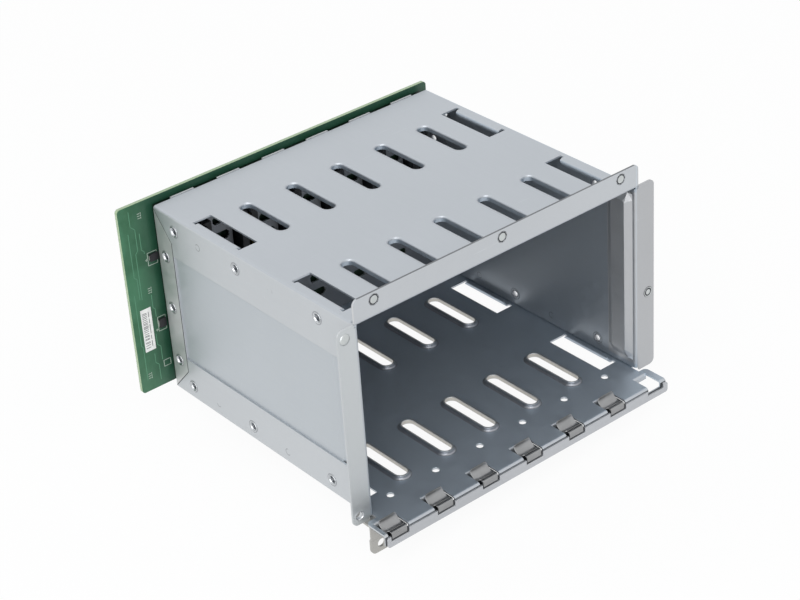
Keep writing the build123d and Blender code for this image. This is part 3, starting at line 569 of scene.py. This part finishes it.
def printed(name, colour, roughness=0.6):
    """Ink or paper with a slight unevenness."""
    n = Nodes(name)
    wide = n.noise(300.0, 2.0)
    faded = tuple(c * 0.88 for c in colour)
    n.link(n.mix(n.remap(wide, 0.35, 0.65, 0, 1), faded, colour), n.shader.inputs["Base Color"])
    n.link(n.remap(wide, 0.3, 0.7, roughness - 0.05, roughness + 0.05), n.shader.inputs["Roughness"])
    n.link(n.bump(wide, 0.00001, 0.3), n.shader.inputs["Normal"])
    return n.material


# Shapes swept round an outline

def circle_path(centre, segments):
    """Stations round a circle: a base point and an outward direction each."""
    turns = [2 * math.pi * i / segments for i in range(segments)]
    return [(centre, (math.cos(a), math.sin(a))) for a in turns]


def slot_path(centre, reach, segments=16):
    """Stations round a slot that runs along the second axis, measured from its end centres."""
    stations = []
    for end, start in ((reach, 0.0), (-reach, math.pi)):
        for i in range(segments + 1):
            a = start + math.pi * i / segments
            stations.append(((centre[0], centre[1] + end), (math.cos(a), math.sin(a))))
    return stations


def swept(name, paths, profile, frame, materials, tints=None):
    """Mesh with a profile carried round each path; a profile point is radius, height and lean.

    Lean is the angle of the surface's normal from the axis toward the middle, in degrees.
    The frame turns plan and height into the row's X, Y and Z."""
    verts, faces, normals, slots = [], [], [], []
    for path in paths:
        first = len(verts)
        count = len(profile)
        for (cx, cy), (nx, ny) in path:
            for radius, height, lean in profile:
                a = math.radians(lean)
                verts.append(frame @ Vector((cx + nx * radius, cy + ny * radius, height)) * MM)
                tilt = Vector((-nx * math.sin(a), -ny * math.sin(a), math.cos(a)))
                normals.append(frame.to_3x3() @ tilt)
        for i in range(len(path)):
            j = (i + 1) % len(path)
            for k in range(count - 1):
                faces.append((
                    first + i * count + k, first + i * count + k + 1,
                    first + j * count + k + 1, first + j * count + k,
                ))
                slots.append(tints[k] if tints else 0)
    flipped = []
    for face in faces:
        a, b, c, d = (verts[i] for i in face)
        way = (c - a).cross(d - b)
        lean = sum((normals[i] for i in face), Vector())
        flipped.append(tuple(reversed(face)) if way.dot(lean) < 0 else face)
    mesh = bpy.data.meshes.new(name)
    mesh.from_pydata([tuple(v) for v in verts], [], flipped)
    for material in materials:
        mesh.materials.append(material)
    for polygon, index in zip(mesh.polygons, slots):
        polygon.material_index = index
        polygon.use_smooth = True
    mesh.normals_split_custom_set_from_vertices([tuple(v.normalized()) for v in normals])
    item = new_object(name, mesh)
    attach(item, "cage")
    return item


def facing(origin, axis, plan_x):
    """Frame with its origin in millimetres, the axis of its heights and the first direction of its plan."""
    axis = Vector(axis)
    plan_x = Vector(plan_x)
    plan_y = axis.cross(plan_x)
    turn = Matrix((plan_x, plan_y, axis)).transposed().to_4x4()
    return Matrix.Translation(Vector(origin)) @ turn


def ribbons(name, lines, width, plane_y, toward, material):
    """Flat strips on the board, each through points given as X and Z in millimetres."""
    verts, faces = [], []
    for line in lines:
        for (x0, z0), (x1, z1) in zip(line, line[1:]):
            along = Vector((x1 - x0, z1 - z0)).normalized()
            side = Vector((-along.y, along.x)) * width / 2
            cap = along * width / 2 * 0.4
            corners = [
                (x0 - cap.x + side.x, z0 - cap.y + side.y), (x1 + cap.x + side.x, z1 + cap.y + side.y),
                (x1 + cap.x - side.x, z1 + cap.y - side.y), (x0 - cap.x - side.x, z0 - cap.y - side.y),
            ]
            first = len(verts)
            verts += [(x * MM, plane_y * MM, z * MM) for x, z in corners]
            verts += [(x * MM, (plane_y + toward) * MM, z * MM) for x, z in corners]
            faces.append(tuple(range(first, first + 4)))
            faces.append(tuple(range(first + 4, first + 8)))
            for k in range(4):
                m = (k + 1) % 4
                faces.append((first + k, first + m, first + 4 + m, first + 4 + k))
    mesh = bpy.data.meshes.new(name)
    mesh.from_pydata(verts, [], faces)
    mesh.materials.append(material)
    item = new_object(name, mesh)
    bm = bmesh.new()
    bm.from_mesh(mesh)
    bmesh.ops.recalc_face_normals(bm, faces=bm.faces)
    bm.to_mesh(mesh)
    bm.free()
    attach(item, "cage")
    return item


def boxes(name, sizes, material):
    """Small blocks with soft edges; each is its low and high corner in millimetres."""
    bm = bmesh.new()
    for low, high in sizes:
        middle = (Vector(low) + Vector(high)) / 2 * MM
        span = (Vector(high) - Vector(low)) * MM
        made = bmesh.ops.create_cube(bm, size=1.0)
        for v in made["verts"]:
            v.co = Vector((v.co.x * span.x, v.co.y * span.y, v.co.z * span.z)) + middle
    mesh = bpy.data.meshes.new(name)
    bm.to_mesh(mesh)
    bm.free()
    mesh.materials.append(material)
    item = new_object(name, mesh)
    cut = item.modifiers.new("cut", "BEVEL")
    cut.width = 0.06 * MM
    cut.segments = 2
    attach(item, "cage")
    return item


# Rims and rivets of the cage

def slot_rims(sheet, wall, foot):
    """Smooth rolled rims over the guide slots of the top panel and the floor."""
    r = SLOT_RADIUS
    profile = [
        (r + 1.95, 0.012, 0), (r + 1.60, 0.022, 2), (r + 1.35, 0.022, 9), (r + 1.10, 0.022, 18),
        (r + 0.92, 0.016, 26), (r + 0.80, 0.0, 33), (r + 0.55, -0.045, 43), (r + 0.35, -0.14, 52),
        (r + 0.18, -0.28, 62), (r + 0.02, -0.50, 74), (r - 0.07, -0.75, 86), (r - 0.08, -1.0, 90),
        (r - 0.08, -2.45, 90), (r - 0.02, -2.65, 115), (r + 0.14, -2.79, 150), (r + 0.40, -2.84, 180),
        (r + 0.66, -2.79, 210), (r + 0.82, -2.65, 245), (r + 0.86, -2.45, 268), (r + 0.87, -2.15, 272),
        (r + 0.97, -1.72, 256), (r + 1.22, -1.35, 236), (r + 1.62, -1.10, 212), (r + 2.10, -1.012, 182),
    ]
    for name, origin, axis in (
        ("top_slot_rims", (0, 0, CAGE_HEIGHT), (0, 0, 1)),
        ("floor_slot_rims", (0, 0, 0), (0, 0, -1)),
    ):
        up = axis[2]
        paths = [slot_path((x, y * up), SLOT_REACH) for x in SLOT_LINES for y in SLOT_ROWS]
        # On the floor, painted light and shade: the collars' inner walls get a lighter, warmer copy of the
        # sheet and their outer faces a darker one
        tints = [0] * 9 + [1] * 7 + [2] * 7 if up < 0 else None
        rims = swept(name, paths, profile, facing(origin, axis, (1, 0, 0)), [sheet, wall, foot], tints)


def floor_hole_rims(sheet):
    """Smooth edges of the small round holes along the shelf."""
    profile = [
        (2.45, 0.010, 0), (2.15, 0.014, 12), (1.98, -0.02, 40), (1.87, -0.13, 70), (1.84, -0.28, 90),
        (1.84, -0.86, 90), (1.92, -1.00, 130), (2.1, -1.012, 175), (2.3, -1.008, 180),
    ]
    paths = [circle_path((x, 6.7), 28) for x in BAY_CENTRES]
    rims = swept("floor_hole_rims", paths, profile, facing((0, 0, 1.0), (0, 0, 1), (1, 0, 0)), [sheet])


def eyelets(metal, inside, grip=2.0):
    """Flared hollow rivets through both side walls, rolled over on the inside."""
    profile = [
        (2.98, -0.02, -90), (2.97, 0.14, -70), (2.88, 0.25, -40), (2.74, 0.30, -10), (2.58, 0.30, 12),
        (2.42, 0.24, 35), (2.25, 0.10, 50), (2.05, -0.16, 56), (1.92, -0.42, 66), (1.83, -0.75, 82),
        (1.80, -1.1, 90), (1.80, -grip, 90), (1.85, -grip - 0.14, 120), (1.97, -grip - 0.22, 160),
        (2.12, -grip - 0.23, 185), (2.24, -grip - 0.16, 225), (2.30, -grip - 0.02, 262),
        (2.30, -grip + 0.05, 270),
    ]
    # The rolled ends inside the cage take the dark inside material: painted shade
    tints = [0] * 10 + [1] * 7
    for side, name in ((-1, "left"), (1, "right")):
        frame_side = facing((side * HALF_WIDTH, 0, 0), (side, 0, 0), (0, 1, 0))
        paths = [circle_path((y, side * z), 36) for y, z in EYELET_SPOTS]
        made = swept(f"{name}_eyelets", paths, profile, frame_side, [metal, inside], tints)
        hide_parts(f"{name}_rivets")


def flange_discs(metal, groove_shade):
    """Flush discs in the upturned flange, each with a pressed ring."""
    profile = [
        (2.98, 0.006, 0), (2.88, 0.014, 12), (2.74, -0.02, 50), (2.58, -0.16, 60), (2.40, -0.21, 0),
        (2.24, -0.15, -58), (2.12, -0.01, -45), (2.00, 0.03, -14), (1.6, 0.045, -3), (0.7, 0.05, 0),
        (0.0, 0.05, 0),
    ]
    # The outer roll and pressed ring take the dark groove material: painted shade
    tints = [1] * 7 + [0] * 3
    back = [(0.0, -1.0, 180), (2.3, -1.0, 180), (2.62, -1.005, 180), (2.86, -1.012, 180), (2.95, -1.0, 200)]
    toward = facing((0, 0, 0), (0, -1, 0), (1, 0, 0))
    paths = [circle_path((x, z), 36) for x, z in DISC_SPOTS]
    front = swept("top_flange_disc_faces", paths, profile, toward, [metal, groove_shade], tints)
    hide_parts("top_flange_discs")
    rear = swept("top_flange_disc_backs", paths, back, toward, [metal])


def flange_rivets(metal, groove_shade):
    """Domed rivet in the left flange and ringed rivet in the right one."""
    dome = [
        (2.92, 0.0, -90), (2.86, 0.10, -62), (2.62, 0.22, -38), (2.1, 0.33, -18), (1.2, 0.40, -6),
        (0.0, 0.42, 0),
    ]
    ring = [
        (2.95, 0.0, -90), (2.90, 0.10, -60), (2.70, 0.19, -15), (2.45, 0.20, 8), (2.25, 0.14, 45),
        (2.05, 0.0, 35), (1.80, -0.02, 0), (1.62, 0.05, -45), (1.45, 0.16, -20), (1.2, 0.18, 0),
        (0.0, 0.18, 0),
    ]
    # The ring's outer edge and groove take the dark groove material: painted shade
    ring_tints = [1, 1, 0, 0, 1, 1, 1, 1, 0, 0]
    back = [(0.0, -1.02, 180), (1.9, -1.02, 180), (2.3, -1.02, 180), (2.42, -1.0, 230)]
    toward = facing((0, 0, 0), (0, -1, 0), (1, 0, 0))
    both = [circle_path(spot, 36) for spot in (LEFT_RIVET, RIGHT_RIVET)]
    left = swept("left_flange_rivet", both[:1], dome, toward, [metal])
    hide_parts("front_flange_rivets")
    right = swept("right_flange_rivet", both[1:], ring, toward, [metal, groove_shade], ring_tints)
    tails = swept("flange_rivet_tails", both, back, toward, [metal])


def smooth_line(points, steps):
    """Catmull-Rom line through points given as pairs."""
    track = []
    for i in range(len(points) - 1):
        p0, p1 = points[max(i - 1, 0)], points[i]
        p2, p3 = points[i + 1], points[min(i + 2, len(points) - 1)]
        for k in range(steps):
            t = k / steps
            track.append(tuple(
                0.5 * (
                    2 * b + (c - a) * t + (2 * a - 5 * b + 4 * c - d) * t * t
                    + (3 * b - a - 3 * c + d) * t ** 3
                )
                for a, b, c, d in zip(p0, p1, p2, p3)
            ))
    return track + [points[-1]]


def leaf_half_width(t):
    """Half the leaf's width at a share of its length: it flares after the fold and narrows at the tip."""
    return 4.2 + 1.25 * min(1.0, t / 0.22) - 1.0 * max(0.0, (t - 0.90) / 0.10)


def leaf_dish(t, u):
    """Rise of the leaf's edges over its middle line; u runs from -1 to 1 across it."""
    return 0.55 * max(0.0, (abs(u) - 0.55) / 0.45) ** 2 * math.sin(math.pi * min(1.0, t * 1.15))


def spring_leaves(metal):
    """Springing leaves of the clips: dished strips that dip into the windows and turn up at the tip."""
    track = smooth_line([
        (-14.95, 1.0), (-14.3, 0.72), (-13.5, -0.45), (-12.5, -0.72), (-11.3, -0.60), (-9.9, 0.25),
        (-8.8, 1.35), (-8.25, 2.6), (-8.1, 4.0),
    ], 4)
    across = [i / 5 for i in range(-5, 6)]
    for number, x in enumerate(CLIP_LINES, 1):
        verts, faces = [], []
        for row, (y, z) in enumerate(track):
            t = row / (len(track) - 1)
            half = leaf_half_width(t)
            for u in across:
                verts.append(((x + u * half) * MM, y * MM, (z + leaf_dish(t, u)) * MM))
        count = len(across)
        for row in range(len(track) - 1):
            for k in range(count - 1):
                a = row * count + k
                faces.append((a, a + 1, a + count + 1, a + count))
        mesh = bpy.data.meshes.new(f"spring_leaf_{number}")
        mesh.from_pydata(verts, [], faces)
        mesh.materials.append(metal)
        for polygon in mesh.polygons:
            polygon.use_smooth = True
        leaf = new_object(f"spring_leaf_{number}", mesh)
        thick = leaf.modifiers.new("thick", "SOLIDIFY")
        thick.thickness = 0.42 * MM
        thick.offset = 0
        edge = leaf.modifiers.new("edge", "BEVEL")
        edge.width = 0.08 * MM
        edge.segments = 2
        edge.angle_limit = math.radians(50)
        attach(leaf, f"leaf_{number}")
        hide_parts(f"clip_leaf_{number}")


def clip_shade_beds(dark):
    """Dark beds under the clips, painted shade that closes the windows below the springing leaves."""
    half = 6.2
    sizes = []
    for x in CLIP_LINES:
        sizes.append(((x - half, -15.35, -2.75), (x + half, -5.6, -2.35)))
        sizes.append(((x + half - 0.4, -14.9, -2.35), (x + half, -6.9, -0.1)))
        for side in (-1, 1):
            x0, x1 = sorted((x + side * 3.55, x + side * half))
            sizes.append(((x0, -16.25, -2.7), (x1, -15.4, -0.9)))
    boxes("clip_shade_beds", sizes, dark)


def corner_returns(sheet):
    """Folded-in corners where the side panels meet the upturned flange."""
    sizes = []
    for side in (-1, 1):
        x0, x1 = sorted((side * 87.95, side * 89.75))
        sizes.append(((x0, 0.35, 105.3), (x1, 3.3, 107.1)))
    boxes("corner_returns", sizes, sheet)


def flange_hole_flare(metal):
    """Bright rolled mouth of the screw hole in the left flange."""
    profile = [
        (2.62, 0.0, -80), (2.58, 0.05, -30), (2.42, 0.07, 5), (2.22, 0.0, 42), (2.02, -0.16, 50),
        (1.87, -0.45, 76), (1.82, -0.9, 90), (1.82, -2.18, 90), (1.9, -2.24, 150), (2.2, -2.26, 180),
        (2.5, -2.22, 200),
    ]
    toward = facing((0, 0, 0), (0, -1, 0), (1, 0, 0))
    made = swept("left_flange_hole", [circle_path(LEFT_HOLE, 36)], profile, toward, [metal])


def board_back():
    """Frame on the board's rear face; its plan runs along minus X."""
    return facing((0, BOARD_BACK, 0), (0, 1, 0), (-1, 0, 0))


def screw_heads(metal, dark):
    """Pan heads with cross recesses on the back of the board."""
    profile = [
        (2.85, 0.0, -90), (2.85, 0.35, -85), (2.74, 0.85, -62), (2.5, 1.25, -45), (2.05, 1.62, -28),
        (1.4, 1.87, -12), (0.7, 1.97, -4), (0.0, 1.98, 0),
    ]
    paths = [circle_path((-x, z), 32) for x, z in STANDOFF_SPOTS]
    heads = swept("board_screw_heads", paths, profile, board_back(), [metal])
    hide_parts("board_screws")
    # The cross recesses are near-black bars laid on the heads: painted shade for the recesses
    bars = []
    top = BOARD_BACK + 1.9
    for x, z in STANDOFF_SPOTS:
        bars.append(((x - 1.5, top, z - 0.27), (x + 1.5, top + 0.10, z + 0.27)))
        bars.append(((x - 0.27, top, z - 1.5), (x + 0.27, top + 0.11, z + 1.5)))
    boxes("board_screw_recesses", bars, dark)


def capacitor_cans(metal, base):
    """Can capacitors with a rolled top, a crimp and a square base."""
    profile = [
        (3.28, 0.9, -90), (3.28, 1.4, -90), (3.12, 1.6, -60), (3.12, 1.8, -110), (3.28, 2.0, -90),
        (3.28, 6.3, -90), (3.18, 6.75, -60), (2.9, 6.95, -20), (2.7, 6.95, 15), (2.6, 6.88, 20),
        (2.5, 6.86, 0), (0.0, 6.86, 0),
    ]
    paths = [circle_path((-x, z), 32) for x, z in CAN_SPOTS]
    cans = swept("capacitor_cans", paths, profile, board_back(), [metal])
    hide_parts("capacitors")
    feet = [((x - 3.3, BOARD_BACK, z - 3.3), (x + 3.3, BOARD_BACK + 0.95, z + 3.3)) for x, z in CAN_SPOTS]
    boxes("capacitor_bases", feet, base)


# Details of the board

def trace_bundle(x, z_low, z_high, count, pitch, jog_z, jog):
    """Parallel runs that step sideways once on the way up."""
    lines = []
    for i in range(count):
        x0 = x + (i - (count - 1) / 2) * pitch
        turn = jog_z + i * pitch * 0.4
        lines.append([(x0, z_low), (x0, turn), (x0 + jog, turn + abs(jog)), (x0 + jog, z_high)])
    return lines


def outline(x0, z0, x1, z1):
    """Closed rectangle as one line."""
    return [(x0, z0), (x1, z0), (x1, z1), (x0, z1), (x0, z0)]


def board_front(copper, ink, tin):
    """Runs, printed frames and end caps on the strip of board beside the cage."""
    runs = [
        [(-101.6, 107.0), (-101.6, 98.5), (-99.2, 96.1), (-99.2, 84.0), (-100.6, 82.6), (-100.6, 56.0)],
        [(-103.4, 95.0), (-103.4, 70.0), (-101.9, 68.5), (-101.9, 56.5)],
        [(-97.0, 93.0), (-97.0, 83.5), (-95.6, 82.1), (-95.6, 81.0)],
        [(-104.8, 60.0), (-104.8, 30.0), (-103.9, 29.1), (-103.9, 9.0)],
        [(-97.8, 22.5), (-97.8, 17.0), (-96.0, 15.2), (-96.0, 6.0)],
        [(-95.0, 56.5), (-95.0, 49.0), (-93.9, 47.9), (-93.9, 43.2)],
        [(-95.4, 33.4), (-95.4, 27.0), (-93.6, 25.2), (-93.6, 17.2)],
    ]
    ribbons("front_traces", runs, 0.42, BOARD_FRONT, -0.02, copper)
    frames = [
        outline(-94.1, 73.2, -88.6, 80.4), outline(-93.3, 34.1, -88.6, 42.3),
        outline(-93.0, 12.5, -88.9, 16.1),
    ]
    ticks = [
        [(-94.9, 76.1), (-94.9, 77.6)], [(-95.6, 76.8), (-94.1, 76.8)], [(-94.4, 34.6), (-94.4, 36.0)],
        [(-94.9, 35.3), (-93.4, 35.3)],
    ]
    strokes = []
    for x, z in ((-95.6, 102.6), (-95.4, 59.4), (-102.0, 10.9)):
        for row in (-1.3, 0.0, 1.3):
            strokes.append([(x - 1.1, z + row), (x + 0.2, z + row)])
            strokes.append([(x + 0.8, z + row - 0.4), (x + 0.8, z + row + 0.4)])
    marks = ribbons("front_print", frames + ticks + strokes, 0.34, BOARD_FRONT, -0.035, ink)
    caps = []
    top = BOARD_FRONT - 0.75
    for x, z, w, h in ((-90.9, 77.7, 4.9, 3.9), (-91.0, 38.9, 3.9, 4.9)):
        low_z, high_z = z - h / 2 + 0.7, z + h / 2 - 0.7
        caps.append(((x - w / 2 - 0.3, top, low_z), (x - w / 2, BOARD_FRONT, high_z)))
        caps.append(((x + w / 2, top, low_z), (x + w / 2 + 0.3, BOARD_FRONT, high_z)))
    boxes("front_chip_ends", caps, tin)


def label_print(ink):
    """Plain bars across the label at uneven distances, and short strokes beside them."""
    face = BOARD_FRONT - 0.15
    bars = []
    z = 27.4
    while z < 48.4:
        width = random.choice((0.25, 0.25, 0.45, 0.7))
        bars.append([(-102.1, z), (-99.4, z)])
        z += width + random.choice((0.35, 0.5, 0.8))
    ribbons("label_bars", bars, 0.3, face, -0.012, ink)
    reaches = ((27.6, 31.0), (31.8, 34.2), (35.2, 40.6), (41.4, 44.0), (44.8, 48.0))
    notes = [[(-98.3, a), (-98.3, b)] for a, b in reaches]
    ribbons("label_notes", notes, 0.3, face, -0.012, ink)


def chip_pins():
    """Low and high corners of the pins round the rear chips."""
    back, top = BOARD_BACK, BOARD_BACK + 0.35
    half = 0.25
    pins = []
    for x in CHIP_LINES:
        for i in range(13):
            off = (i - 6) * 1.15
            for side in (-1, 1):
                edge = side * 8.0
                low_x, high_x = sorted((x + edge, x + edge + side * 1.3))
                pins.append(((low_x, back, CHIP_Z + off - half), (high_x, top, CHIP_Z + off + half)))
                low_z, high_z = sorted((CHIP_Z + edge, CHIP_Z + edge + side * 1.3))
                pins.append(((x + off - half, back, low_z), (x + off + half, top, high_z)))
    for i in range(4):
        z = SMALL_CHIP_Z + (i - 1.5) * 1.8
        for side in (-1, 1):
            low_x, high_x = sorted((side * 3.0, side * 4.1))
            pins.append(((low_x, back, z - 0.3), (high_x, top, z + 0.3)))
    return pins


def board_rear(copper, ink, tin):
    """Runs, pins, printed frames and plated holes on the back of the board."""
    lines = []
    for x, jog_z, jog in ((BAY_PITCH, 24.0, 0.0), (2 * BAY_PITCH, 30.0, -0.42 * BAY_PITCH)):
        lines += trace_bundle(x, 19.0, 46.8, 7, 1.5, jog_z, jog)
    for x, jog in zip(CHIP_LINES, (3.0, -3.0)):
        lines += trace_bundle(x, 65.2, 96.0, 8, 1.6, 72.0, jog)
    for i in range(6):
        lines.append([(-43.0 - 1.4 * i, 22.0), (-43.0 - 1.4 * i, 34.0 + i), (-37.5, 47.0 + 1.6 * i)])
    for i in range(5):
        lines.append([(-20.4, 50.5 + 2.2 * i), (20.4, 50.5 + 2.2 * i)])
    ribbons("rear_traces", lines, 0.5, BOARD_BACK, 0.02, copper)
    frames = [
        outline(-38.6, 46.0, -18.6, 66.0), outline(18.6, 46.0, 38.6, 66.0), outline(-4.4, 78.9, 4.4, 89.1),
        outline(16.8, 8.8, 40.4, 19.2), outline(45.4, 8.8, 69.0, 19.2), outline(-8.4, 8.2, 8.4, 19.8),
        outline(-70.2, 7.2, -44.2, 20.8),
    ]
    ribbons("rear_print", frames, 0.3, BOARD_BACK, 0.03, ink)
    boxes("rear_chip_pins", chip_pins(), tin)
    pads = []
    for centre in BAY_CENTRES:
        for i in range(15):
            pads.append((centre + 5.4 - 2.0 + (i % 2) * 4.0, 68.7 + (i - 7) * 2.1))
    profile = [(0.62, 0.0, -90), (0.58, 0.05, -20), (0.36, 0.06, 10), (0.30, 0.02, 80), (0.28, 0.0, 90)]
    paths = [circle_path((-x, z), 12) for x, z in pads]
    swept("plated_holes", paths, profile, board_back(), [tin])


# Dressing

def dress_nodes():
    """Materials for every CAD node and the pieces laid over them."""
    sheet = sheet_steel("zinc_sheet", SHEET, 0.46, True)
    right = sheet_steel("zinc_sheet_right", SHEET_RIGHT, 0.46, True)
    rail = sheet_steel("rail_sheet", RAIL, 0.40)
    left = sheet_steel("zinc_sheet_left", SHEET_LEFT, 0.46, True)
    rear = sheet_steel("zinc_sheet_rear", SHEET_REAR, 0.46, True, REAR_SHADE_TINT)
    # Painted light and shade for the floor collars: a lighter warm copy for their inner walls, a darker one
    # for their outer faces
    wall = plain_metal("slot_wall_lit", (0.56, 0.545, 0.51), 0.45)
    foot = plain_metal("slot_foot_shaded", (0.36, 0.375, 0.405), 0.50)
    # Painted shade: dark inside ends of the eyelets
    inside = plain_metal("rivet_inside_shaded", (0.26, 0.27, 0.29), 0.40)
    spring = plain_metal("spring_strip", (0.35, 0.355, 0.36), 0.38, 500.0, 0.14)
    rivet = plain_metal("rivet", (0.57, 0.59, 0.61), 0.24)
    disc = plain_metal("disc", (0.62, 0.65, 0.65), 0.36)
    # Painted shade: near-black for the grooves of the discs and rivets and the beds under the clips
    groove_shade = plain_metal("groove_shade", (0.10, 0.105, 0.115), 0.45)
    bracket = sheet_steel("ear_sheet", EAR, 0.42)
    screw = plain_metal("screw", (0.62, 0.63, 0.65), 0.26)
    # Painted shade: near-black cross recesses of the screw heads
    recess = plain_metal("recess", (0.05, 0.05, 0.055), 0.50)
    brass = plain_metal("standoff", (0.50, 0.47, 0.40), 0.30)
    gold = plain_metal("contact", (0.75, 0.55, 0.22), 0.22)
    tin = plain_metal("tin", (0.72, 0.72, 0.70), 0.30, 2500.0, 0.05)
    shield = plain_metal("shield", (0.60, 0.60, 0.60), 0.28)
    can = plain_metal("can", (0.66, 0.67, 0.68), 0.24)
    black = moulded("connector_black", (0.010, 0.010, 0.012), 0.45)
    chips = moulded("chip_black", (0.020, 0.020, 0.023), 0.50)
    white = moulded("power_white", (0.62, 0.60, 0.53), 0.38)
    label = printed("label_paper", (0.84, 0.84, 0.82))
    ink = printed("label_ink", (0.05, 0.05, 0.055))
    print_white = printed("board_print", (0.42, 0.50, 0.43))
    copper = printed("masked_copper", (0.095, 0.260, 0.155), 0.40)
    board = board_material()
    choose = {
        "top_panel": sheet, "bottom_panel": sheet, "left_side_panel": left, "right_side_panel": right,
        "rear_panel": rear, "front_rail": rail, "mounting_ear": bracket, "left_rivets": rivet,
        "right_rivets": rivet, "top_flange_discs": rivet, "front_flange_rivets": rivet,
        "backplane_board": board, "board_standoffs": brass, "board_screws": screw,
        "power_connector": white, "status_header": black, "front_chips": chips, "rear_chips": chips,
        "capacitors": can, "board_label": label,
    }
    for name in nodes:
        if name.startswith("clip_"):
            choose[name] = spring
        elif name.startswith("drive_connector"):
            choose[name] = black
        elif name.startswith("connector_contacts"):
            choose[name] = gold
        elif name.startswith("data_connector"):
            choose[name] = shield
    for name, material in choose.items():
        materials = nodes[name].data.materials
        materials.clear()
        materials.append(material)
    slot_rims(sheet, wall, foot)
    floor_hole_rims(sheet)
    eyelets(rivet, inside)
    flange_discs(disc, groove_shade)
    flange_rivets(disc, groove_shade)
    spring_leaves(spring)
    corner_returns(sheet)
    clip_shade_beds(groove_shade)
    flange_hole_flare(rivet)
    screw_heads(screw, recess)
    capacitor_cans(can, chips)
    board_front(copper, print_white, tin)
    label_print(ink)
    board_rear(copper, print_white, tin)


place_camera()
world_light()
floor()
area_light("key", (-1.2, -0.6, 1.6), (0, 0.08, 0.05), (1.4, 1.4), 13)
area_light("fill", (-1.3, -1.5, 0.5), (0.02, 0.05, 0.05), (1.0, 0.9), 11)
dress_nodes()
bpy.context.scene.view_settings.view_transform = "Standard"
